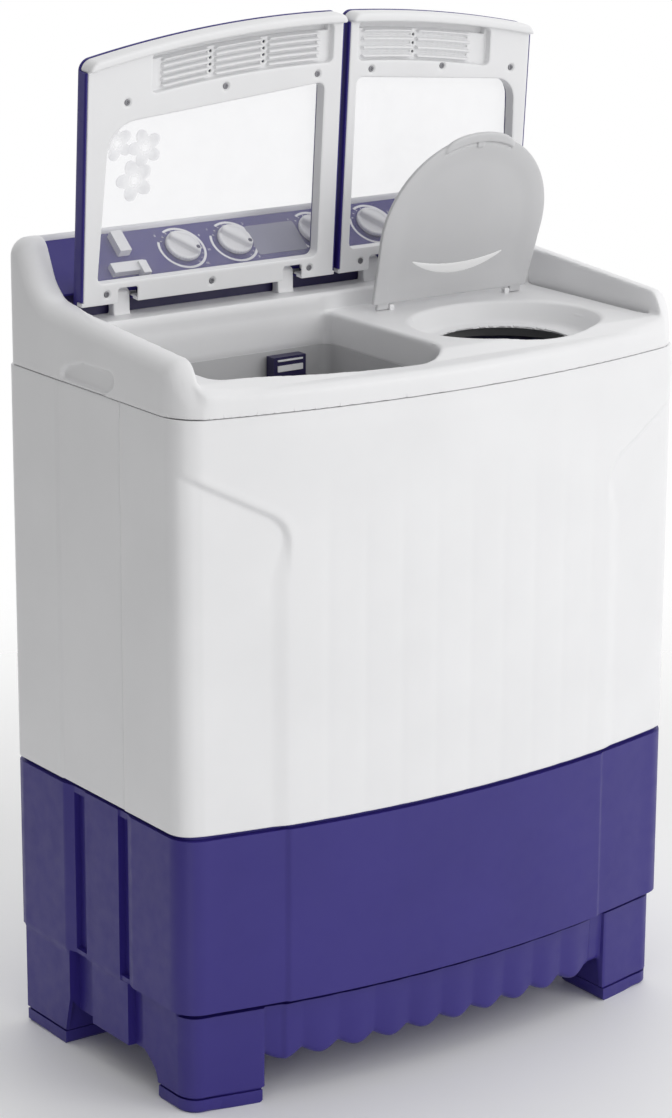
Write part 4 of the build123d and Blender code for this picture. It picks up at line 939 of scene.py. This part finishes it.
def make_posts():
    """Hinge posts of the outer lids and the ears of the safety lid."""
    axis_y, axis_z = lid_place(0, HINGE_W, HINGE_V)[1:]
    for name, lid in (("wash", WASH_LID), ("spin", SPIN_LID)):
        for index, centre in enumerate(lid["posts"]):
            low = (centre - 17, axis_y - 13, DECK - 1.5)
            space = Volume(low, (centre + 17, axis_y + 13, axis_z + 8), 0.7)
            x, y, z = space.x, space.y, space.z
            flare = 3.5 * (1 - step_up(z, DECK - 1, DECK + 9))
            column = both(np.abs(x - centre) - POST_HALF, np.abs(y - axis_y) - 5.8 - flare, 1.5)
            column = np.maximum(column, z - axis_z)
            eye = both(disc(y, z, (axis_y, axis_z), 5.9), np.abs(x - centre) - POST_HALF, 1.5)
            post = either(column, eye)
            post = np.maximum(post, DECK - 0.5 - z)
            post = carve(post, disc(y, z, (axis_y, axis_z), 2.6))
            points, faces = space.surface(post, 0.02)
            post_name = f"{name}_hinge_post_{index}"
            add_piece(post_name, points, faces, "white_plastic", "cabinet", ("top_cover",))
    hinge_y, hinge_z = SAFETY_HINGE
    for x0, x1 in SAFETY_EARS:
        low = (x0 - 3, hinge_y - 7, PLATFORM - 1.5)
        space = Volume(low, (x1 + 3, hinge_y + 7, hinge_z + 7), 0.5)
        x, y, z = space.x, space.y, space.z
        round_top = both(np.abs(y - hinge_y) - 3.9, z - hinge_z - 3.9, 2.5)
        ear = both(between(x, x0 + 0.1, x1 - 0.1), round_top, 0.8)
        ear = np.maximum(ear, PLATFORM - 0.5 - z)
        ear = carve(ear, disc(y, z, SAFETY_HINGE, 2.0))
        points, faces = space.surface(ear, 0.02)
        add_piece(f"safety_ear_{round(x0)}", points, faces, "white_plastic", "cabinet", ("top_cover",))


# Lids


def lid_place(x, w, v):
    """Point of a lid's own frame in the cabinet's frame."""
    cos, sin = math.cos(LID_LEAN), math.sin(LID_LEAN)
    return x, LID_FOOT[0] + w * cos - v * sin, LID_FOOT[1] + w * sin + v * cos


def safety_place(x, w, v):
    """Point of the safety lid's own frame in the cabinet's frame."""
    cos, sin = math.cos(SAFETY_LEAN), math.sin(SAFETY_LEAN)
    return x, SAFETY_HINGE[0] + w * cos - v * sin, SAFETY_HINGE[1] + w * sin + v * cos


def panel_place(x, along, out):
    """Point of the panel's own frame in the cabinet's frame."""
    cos, sin = math.cos(PANEL_TILT), math.sin(PANEL_TILT)
    return x, PANEL_FOOT[0] + along * cos - out * sin, PANEL_FOOT[1] + along * sin + out * cos


def placed(points, place):
    """Points moved from a part's own frame into the cabinet's."""
    points = np.asarray(points, float)
    return np.column_stack(place(points[:, 0], points[:, 1], points[:, 2]))


def lid_top(x):
    """Height of the lid's bowed free edge."""
    return LID_LENGTH - LID_BOW * (x / LID_SPAN) ** 2


def lid_distance(x, v, lid):
    """Distance to a lid's outline seen face on."""
    x0, x1 = lid["span"]
    sides = np.maximum(x0 - x, x - x1)
    return np.maximum(both(sides, v - lid_top(x), 12), -v)


def window_distance(x, v, lid):
    return outline_distance(x, v, rounded(lid["window"], lid["radii"]))


LIP_FRONT = -8.0
LIP_BACK = 15.5
LIP_HEIGHT = 11.0
FOOT_BACK = 11.5
RECESS_TOP = 9.0
RECESS_BOTTOM = 54.0
RECESS_FLOOR = 8.0
CHANNEL_FLOOR = 15.5
SLAT_TOP = 20.0


def frame_solid(x, w, v, lid):
    """Distance to a lid's inner frame: skin, rim, collar, lip, louvre recess and screw seats."""
    outline = lid_distance(x, v, lid) + LID_SKIN
    opening = window_distance(x, v, lid)
    body = both(outline, between(w, 0, LID_SKIN), 0.8)
    rim = np.maximum(np.maximum(outline, -(outline + LID_SKIN)), between(w, 0.8, LID_THICK - LID_SKIN))
    body = either(body, rim)
    below = lid_top(x) - LID_SKIN - v
    recess = both(between(x, *lid["recess"]), between(below, RECESS_TOP, RECESS_BOTTOM), 7)
    body = either(body, np.maximum(recess - 2, between(w, 1, RECESS_FLOOR + 3)))
    body = carve(body, both(recess, w - RECESS_FLOOR, 2), 2)
    channel = np.maximum(between(x, *lid["recess"]) + 3, between(below, RECESS_TOP + 1, SLAT_TOP - 2))
    body = either(body, np.maximum(channel - 2, between(w, RECESS_FLOOR, CHANNEL_FLOOR + 2)))
    body = carve(body, np.maximum(channel, w - CHANNEL_FLOOR), 1)
    collar = np.maximum(np.maximum(opening - LID_SKIN, between(w, 0.8, 15.4)), -opening)
    body = either(body, collar)
    body = carve(body, opening, 1.2)
    edge = lid_distance(x, v, lid) + 0.3
    lip = both(both(edge, between(w, LIP_FRONT, LIP_BACK), 4), 9.0 - (v - lid_top(x) + 20.0), 3)
    body = either(body, lip, 2)
    foot = np.maximum(both(edge, between(w, 0, FOOT_BACK), 1), v - 5)
    body = either(body, foot)
    rows = lid["slat_rows"]
    pitch = (RECESS_BOTTOM - SLAT_TOP - 4.0) / rows
    phase = (below - SLAT_TOP) % pitch
    for x0, x1 in lid["slats"]:
        group = both(between(x, x0, x1), between(below, SLAT_TOP, SLAT_TOP + rows * pitch), 2)
        gap = np.maximum(np.maximum(np.abs(phase - pitch / 2) - 1.2, group), w - RECESS_FLOOR - 2)
        body = carve(body, gap)
        bar = np.hypot(np.minimum(phase, pitch - phase), (w - RECESS_FLOOR + 2) * 0.6) - 2.1
        body = either(body, np.maximum(bar, group - 1.0), 0.4)
    for start, end in zip(lid["slats"][:-1], lid["slats"][1:]):
        middle = (start[1] + end[0]) / 2
        for row in range(rows):
            hole = np.hypot(x - middle, below - SLAT_TOP - (row + 0.5) * pitch) - 1.7
            body = carve(body, np.maximum(hole, w - RECESS_FLOOR - 5))
    for sx, sv in lid["screws"]:
        reach = np.hypot(x - sx, v - sv)
        body = either(body, np.maximum(reach - 5, between(w, 0.8, 14)))
        body = carve(body, both(reach - 4.6, w - 1.6, 0.6), 0.8)
        body = carve(body, np.maximum(reach - 2.1, w - 13))
    for post in lid["posts"]:
        body = carve(body, box2(x, v, (post - NOTCH_HALF, -30), (post + NOTCH_HALF, NOTCH_HEIGHT), 3), 1)
        pin = np.maximum(disc(w, v, (HINGE_W, HINGE_V), 3.0), np.abs(x - post) - 22.5)
        body = carve(body, pin)
    return body


def shell_solid(x, w, v, lid):
    """Distance to a lid's outer shell: skin, edge flange and hinge knuckles."""
    outline = lid_distance(x, v, lid)
    opening = window_distance(x, v, lid)
    outer = both(outline, w - LID_THICK, 4)
    inner = both(outline + LID_SKIN + 0.15, w - (LID_THICK - LID_SKIN), 2)
    body = np.maximum(np.maximum(outer, -inner), 1.2 - w)
    body = carve(body, np.maximum(lid_top(x) - v - LIP_HEIGHT - 0.4, w - LIP_BACK - 0.3))
    body = carve(body, np.maximum(v - 5.5, w - FOOT_BACK - 0.4))
    body = carve(body, opening - LID_SKIN - 0.3, 1)
    frame_line = both(np.abs(opening - 8.0) - 1.4, w - LID_THICK - 0.8, 0.6)
    body = either(body, np.maximum(frame_line, LID_THICK - 1 - w), 0.5)
    for post in lid["posts"]:
        away = np.abs(x - post)
        beside = between(away, NOTCH_HALF, NOTCH_HALF + 9)
        knuckle = both(disc(w, v, (HINGE_W, HINGE_V), KNUCKLE_RADIUS), beside, 1)
        body = either(body, np.maximum(knuckle, 18.6 - w), 1)
        body = carve(body, box2(x, v, (post - NOTCH_HALF, -30), (post + NOTCH_HALF, NOTCH_HEIGHT), 3))
        body = carve(body, np.maximum(disc(w, v, (HINGE_W, HINGE_V), 2.5), away - 25))
    return body


def make_lid(name, lid):
    x0, x1 = lid["span"]
    space = Volume((x0 - 2, -10, -3), (x1 + 2, 22, LID_LENGTH + 3), 0.9)
    points, faces = space.surface(frame_solid(space.x, space.y, space.z, lid), 0.01)
    points = placed(points, lid_place)
    add_piece(f"{name}_inner", points, faces, "white_plastic", name, (f"{name}_frame",), 35)
    space = Volume((x0 - 2, -1, -3), (x1 + 2, 28, LID_LENGTH + 3), 1.1)
    points, faces = space.surface(shell_solid(space.x, space.y, space.z, lid), 0.01)
    points = placed(points, lid_place)
    add_piece(f"{name}_outer", points, faces, "purple_plastic", name, (f"{name}_shell",), 35)
    for index, (sx, sv) in enumerate(lid["screws"]):
        space = Volume((sx - 4.5, 0.2, sv - 4.5), (sx + 4.5, 13.5, sv + 4.5), 0.3)
        reach = np.hypot(space.x - sx, space.z - sv)
        head = both(reach - 3.5, between(space.y, 0.5, 3.0), 0.6)
        shank = np.maximum(reach - 1.8 + 0.25 * np.sin(space.y * 4.0), between(space.y, 2, 13))
        screw = either(head, shank)
        cross = np.minimum(
            box2(space.x, space.z, (sx - 2, sv - 0.5), (sx + 2, sv + 0.5)),
            box2(space.x, space.z, (sx - 0.5, sv - 2), (sx + 0.5, sv + 2)),
        )
        screw = carve(screw, np.maximum(cross, space.y - 1.6))
        points, faces = space.surface(screw, 0.02)
        points = placed(points, lid_place)
        add_piece(f"{name}_screw_{index}", points, faces, "screw_steel", name, (f"{name}_screws",))


def make_safety_lid():
    space = Volume((48, -9.5, -4.5), (288, 5.5, 218), 0.9)
    x, w, v = space.x, space.y, space.z
    from_centre = np.hypot(x - SAFETY_X, v - SAFETY_CENTRE_V)
    lower = np.maximum(np.abs(x - SAFETY_X) - 113 - 5 * np.clip(v - 6, 0, 86) / 86, v - SAFETY_CENTRE_V)
    outline = np.maximum(np.minimum(from_centre - SAFETY_RADIUS, lower), 6 - v)
    face = 1.9 * step_up(-outline, 7, 34) - 2.8
    body = both(outline, between(w, face, 2.4), 1.3)
    slot = both(disc(x, v, (SAFETY_X, 155), 119), -disc(x, v, (SAFETY_X, 293), 246), 1.5)
    body = carve(body, slot, 0.8)
    bar = both(np.abs(x - SAFETY_X) - 104, np.hypot(w, v - 9) - 2.6, 1)
    body = either(body, bar, 0.3)
    tab = (np.hypot((x - SAFETY_X) / 50, (v - 195) / 19) - 1) * 19
    tab = both(both(tab, between(w, -5.0, 1), 2.0), SAFETY_RADIUS - 7 - from_centre, 1.5)
    body = either(body, tab, 1)
    line = np.maximum(np.abs(from_centre - (SAFETY_RADIUS - 9)) - 1.0, np.abs(x - SAFETY_X) - 48)
    body = carve(body, np.maximum(line, w + 1.6), 0.4)
    notch = both(box2(x, v, (SAFETY_X - 5, 196), (SAFETY_X + 5, 206), 1), between(w, -4.2, 0), 0.8)
    body = either(body, notch, 0.4)
    for x0, x1 in SAFETY_KNUCKLES:
        knuckle = both(np.hypot(w, v) - 2.8, between(x, x0, x1), 0.8)
        web = np.maximum(between(x, x0, x1), box2(w, v, (-2.3, 0), (2.3, 9)))
        body = either(body, either(knuckle, web), 0.6)
    for x0, x1 in SAFETY_PINS:
        body = either(body, np.maximum(np.hypot(w, v) - 1.95, between(x, x0, x1)))
    # Painted light: a bright white sheet fills the crescent slot, standing in for the light seen through
    # it.
    slot_light = both(slot - 1, between(w, -1.2, 0.4), 0.5)
    points, faces = space.surface(slot_light, 0.01)
    add_piece("safety_lid_slot_light", placed(points, safety_place), faces, "slot_light_plastic", "safety_lid")
    points, faces = space.surface(body, 0.01)
    points = placed(points, safety_place)
    add_piece("safety_lid_disc", points, faces, "pale_grey_plastic", "safety_lid", ("safety_lid",), 35)


# Dials and panel print


GRIP_TOP = 14.0
DOT_AT = 11.2


def make_knob(name, centre):
    space = Volume((-24, -24, -24), (24, 24, 22), 0.6)
    x, y, z = space.x, space.y, space.z
    radius = np.hypot(x, y)
    angle = np.arctan2(y, x)
    skirt = radius - KNOB_RADIUS + 0.5 + 0.35 * np.cos(angle * 36) * step_up(radius, 19, 21)
    body = both(skirt, between(z, 1.0, 7.0), 2.0)
    body = carve(body, both(radius - 17.5, 6.2 - z, 1.0), 1.0)
    across = (x + y) / math.sqrt(2)
    along = (x - y) / math.sqrt(2)
    width = 4.6 + 0.9 * np.clip((GRIP_TOP - z) / 8, 0, 1)
    grip = both(both(np.abs(across) - width, np.abs(along) - 20.0, 3), z - GRIP_TOP, 2.5)
    grip = np.maximum(grip, 4 - z)
    body = either(body, grip, 1.5)
    body = np.maximum(body, radius - KNOB_RADIUS)
    stem = np.maximum(radius - 3.95, between(z, -24, 5))
    body = either(body, stem)
    points, faces = space.surface(body, 0.01)

    def place(px, py, pz):
        return panel_place(px + centre, py + PANEL_LENGTH - DIAL_DROP, pz)

    points = placed(points, place)
    add_piece(f"{name}_knob_body", points, faces, "knob_plastic", f"{name}_knob", (f"{name}_knob",), 35)
    space = Volume((7, -15.5, GRIP_TOP - 3), (15.5, -7, GRIP_TOP + 1.5), 0.3)
    reach = np.hypot(space.x - DOT_AT, space.y + DOT_AT)
    dot = both(reach - 2.7, between(space.z, GRIP_TOP - 2, GRIP_TOP + 0.2), 0.3)
    points, faces = space.surface(dot, 0.02)
    add_piece(f"{name}_dot", placed(points, place), faces, "navy_plastic", f"{name}_knob")


PRINT_THICK = 0.25
RING_OUTER = 30.5
RING_INNER = 27.5


def ring_sector(centre, inner, outer, start, end):
    """Points and faces of a flat ring sector on the panel, angles in degrees."""
    count = max(3, round((end - start) / 4))
    points = []
    for angle in np.radians(np.linspace(start, end, count + 1)):
        for radius, out in ((inner, 0.02), (outer, 0.02), (outer, PRINT_THICK), (inner, PRINT_THICK)):
            across, along = radius * math.cos(angle), radius * math.sin(angle)
            points.append((centre[0] + across, centre[1] + along, out))
    faces = []
    for i in range(count):
        a, b = 4 * i, 4 * i + 4
        for j in range(4):
            k = (j + 1) % 4
            faces.append((a + k, a + j, b + j, b + k))
    faces.append((0, 1, 2, 3))
    last = 4 * count
    faces.append((last + 3, last + 2, last + 1, last))
    return points, faces


def bar_faces(first):
    """Faces of a small block whose eight points start at an index."""
    ring = [(0, 1, 5, 4), (1, 2, 6, 5), (2, 3, 7, 6), (3, 0, 4, 7), (3, 2, 1, 0), (4, 5, 6, 7)]
    return [tuple(first + i for i in face) for face in ring]


def add_print(name, points, faces, material="panel_print"):
    add_piece(name, placed(points, panel_place), faces, material, "cabinet", (), 20)


def numeral(name, text, x, along, size):
    """Generic numeral printed on the panel."""
    curve = bpy.data.curves.new(name, "FONT")
    curve.body = text
    curve.size = size * METRE
    curve.align_x = "CENTER"
    curve.align_y = "CENTER"
    curve.extrude = PRINT_THICK / 2 * METRE
    maker = bpy.data.objects.new(name, curve)
    bpy.context.scene.collection.objects.link(maker)
    mesh = bpy.data.meshes.new_from_object(maker.evaluated_get(bpy.context.evaluated_depsgraph_get()))
    bpy.data.objects.remove(maker)
    local = np.array([v.co[:] for v in mesh.vertices]) / METRE + (x, along, PRINT_THICK / 2 + 0.02)
    faces = [tuple(p.vertices) for p in mesh.polygons]
    bpy.data.meshes.remove(mesh)
    add_print(name, local, faces)


SCALES = {
    "wash_timer": ("0", "3", "6", "9", "12", "15"),
    "wash_selector": ("1", "2", "3"),
    "drain_selector": ("1", "2"),
    "spin_timer": ("0", "1", "2", "3", "4", "5"),
}


def make_dial_print(name, x):
    centre = (x, PANEL_LENGTH - DIAL_DROP)
    points, faces = ring_sector(centre, RING_INNER, RING_OUTER, -205, 118)
    add_print(f"{name}_ring", points, faces)
    marks = SCALES[name]
    points, faces = [], []
    for step in range(13):
        angle = math.radians(150 - 210 * step / 12)
        radial = np.array([math.cos(angle), math.sin(angle)])
        side = np.array([-radial[1], radial[0]]) * 0.35
        near_end, far_end = radial * 24.6 + centre, radial * (RING_INNER - 0.5) + centre
        corners = [near_end - side, far_end - side, far_end + side, near_end + side]
        faces += bar_faces(len(points))
        points += [(*c, 0.02) for c in corners] + [(*c, PRINT_THICK) for c in corners]
    add_print(f"{name}_ticks", points, faces)
    for index, text in enumerate(marks):
        share = index / (len(marks) - 1)
        angle = math.radians(140 - 190 * share)
        at = (x + 34.5 * math.cos(angle), centre[1] + 34.5 * math.sin(angle))
        if at[1] < PANEL_LENGTH - 3:
            numeral(f"{name}_numeral_{index}", text, *at, 4.5)


def make_panel_lip_shade():
    """Painted shade: a dark strip along the panel's lower lip, standing in for the shadow in the gap
    behind the lids' feet.
    """
    half = WING_INNER - 0.8
    front, back = PANEL_FOOT[0] - 0.4, PANEL_FOOT[0] + 0.6
    outline = [(-half, front), (half, front), (half, back), (-half, back)]
    points, faces = prism(outline, DECK_LOOK + 0.1, PANEL_FOOT[1] - 2.0, 0.3)
    add_piece("panel_lip_shade_strip", points, faces, "navy_plastic", "cabinet")


def make_panel_label():
    """Blank name plate between the dials."""
    outline = rounded([(-38, 20), (31, 20), (31, 64), (-38, 64)], [3] * 4, 4)
    count = len(outline)
    points = [(*p, 0.02) for p in outline] + [(*p, 0.4) for p in outline]
    faces = [tuple(range(count))[::-1], tuple(range(count, 2 * count))]
    faces += [(i, (i + 1) % count, count + (i + 1) % count, count + i) for i in range(count)]
    add_print("panel_label", points, faces, "label_print")


def make_filter_grip():
    """Light finger grips across the lint filter's head."""
    low, high = (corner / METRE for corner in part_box("lint_filter"))
    x0, x1 = low.x + 5, high.x - 5
    y0, y1 = low.y - 1.4, low.y + 0.4
    outline = [(x0, y0), (x1, y0), (x1, y1), (x0, y1)]
    for index, (drop, tall) in enumerate(((17.0, 7.0), (5.0, 2.0))):
        points, faces = prism(outline, high.z - drop, high.z - drop + tall, 0.5)
        add_piece(f"filter_grip_{index}", points, faces, "white_plastic", "lint_filter")


# CAD nodes kept as they are, with softened edges


def ease(node, width, segments=2):
    """Small rounded edges on a CAD node."""
    piece = NODES[node]
    bevel = piece.modifiers.new("eased edges", "BEVEL")
    bevel.width = width * METRE
    bevel.segments = segments
    bevel.limit_method = "ANGLE"
    bevel.angle_limit = math.radians(40)


def dress_nodes():
    """Materials for every CAD node by its slot."""
    slots = {row["node"]: row["material_slot"] for row in frame["record"]["subparts"]}
    for name, piece in NODES.items():
        material = MATERIALS[slots[name]]
        if name == "wash_lid_glass":
            material = MATERIALS["clear_printed"]
        piece.data.materials.clear()
        piece.data.materials.append(material)
        soften(piece, 30)
    for node in ("control_panel", "lint_filter", "filter_housing"):
        ease(node, 0.8)
    for node in ("inlet_selector", "inlet_spout"):
        ease(node, 3.0, 5)


# Camera, lights and floor


def make_camera():
    yaw, down, roll = (math.radians(a) for a in (CAMERA_YAW, CAMERA_DOWN, CAMERA_ROLL))
    forward = Vector((math.sin(yaw) * math.cos(down), math.cos(yaw) * math.cos(down), -math.sin(down)))
    level = Vector((math.cos(yaw), -math.sin(yaw), 0))
    upright = level.cross(forward)
    right = math.cos(roll) * level + math.sin(roll) * upright
    up = math.cos(roll) * upright - math.sin(roll) * level
    lens = bpy.data.cameras.new("camera")
    lens.lens = CAMERA_LENS
    lens.sensor_width = 36.0
    lens.clip_end = 50.0
    camera = bpy.data.objects.new("camera", lens)
    place = Matrix.Translation(Vector(CAMERA_PLACE) * METRE)
    camera.matrix_world = place @ Matrix((right, up, -forward)).transposed().to_4x4()
    bpy.context.scene.collection.objects.link(camera)
    bpy.context.scene.camera = camera


def area_light(name, place, target, size, power):
    light = bpy.data.lights.new(name, "AREA")
    light.shape = "RECTANGLE"
    light.size, light.size_y = size
    light.energy = power
    lamp = bpy.data.objects.new(name, light)
    direction = Vector(target) - Vector(place)
    lamp.location = place
    lamp.rotation_euler = direction.to_track_quat("-Z", "Y").to_euler()
    bpy.context.scene.collection.objects.link(lamp)


FLOOR_HALF = 2.0


def make_studio():
    world = bpy.data.worlds.new("studio")
    world.use_nodes = True
    tree = world.node_tree
    split = add_node(tree, "SeparateXYZ", Vector=add_node(tree, "TexCoord").outputs["Generated"])
    sides = {"From_Min": -0.9, "From_Max": -0.1, "To_Min": 0.15, "To_Max": 1.0}
    fade = add_node(tree, "MapRange", Value=split.outputs["X"], **sides)
    feed(tree, tree.nodes["Background"], Color=(1, 1, 1, 1), Strength=fade.outputs["Result"])
    bpy.context.scene.world = world
    area_light("key", (1.4, -2.8, 1.9), (0, 0, 0.5), (1.6, 1.6), 18)
    area_light("top", (0.3, -0.3, 3.2), (0, 0, 0.8), (1.8, 1.8), 2)
    area_light("strip", (-2.5, -1.8, 0.3), (-0.35, -0.15, 0.4), (0.25, 1.8), 9)
    material, tree, shader, place = nodes_of("studio_floor")
    shade = spread(tree, noise(tree, place, 2.0), 0, 1)
    colour = blend_colour(tree, shade, (0.9, 0.9, 0.9), (0.92, 0.92, 0.92))
    feed(tree, shader, Base_Color=colour, Roughness=0.6)
    distance = tree.nodes.new("ShaderNodeVectorMath")
    distance.operation = "LENGTH"
    tree.links.new(place, distance.inputs[0])
    fade = add_node(tree, "MapRange", From_Min=0.75, From_Max=1.9, Value=distance.outputs["Value"])
    fade.interpolation_type = "SMOOTHSTEP"
    mix = add_node(tree, "MixShader", Fac=fade.outputs["Result"])
    tree.links.new(shader.outputs["BSDF"], mix.inputs[1])
    tree.links.new(tree.nodes.new("ShaderNodeBsdfTransparent").outputs["BSDF"], mix.inputs[2])
    feed(tree, tree.nodes["Material Output"], Surface=mix.outputs["Shader"])
    mesh = bpy.data.meshes.new("studio_floor")
    corners = [(-1, -1), (1, -1), (1, 1), (-1, 1)]
    mesh.from_pydata([(FLOOR_HALF * x, FLOOR_HALF * y, 0) for x, y in corners], [], [(0, 1, 2, 3)])
    mesh.materials.append(material)
    floor = bpy.data.objects.new("studio_floor", mesh)
    bpy.context.scene.collection.objects.link(floor)
    view = bpy.context.scene.view_settings
    view.view_transform = "Standard"
    view.look = "None"


dress_nodes()
make_front()
make_shell()
base_run = make_base()
make_feet()
make_base_floor(base_run)
make_cover()
make_posts()
make_lid("wash_lid", WASH_LID)
make_lid("spin_lid", SPIN_LID)
make_safety_lid()
for dial_name, dial_x in DIALS.items():
    make_knob(dial_name, dial_x)
    make_dial_print(dial_name, dial_x)
make_panel_label()
make_panel_lip_shade()
make_filter_grip()
make_camera()
make_studio()
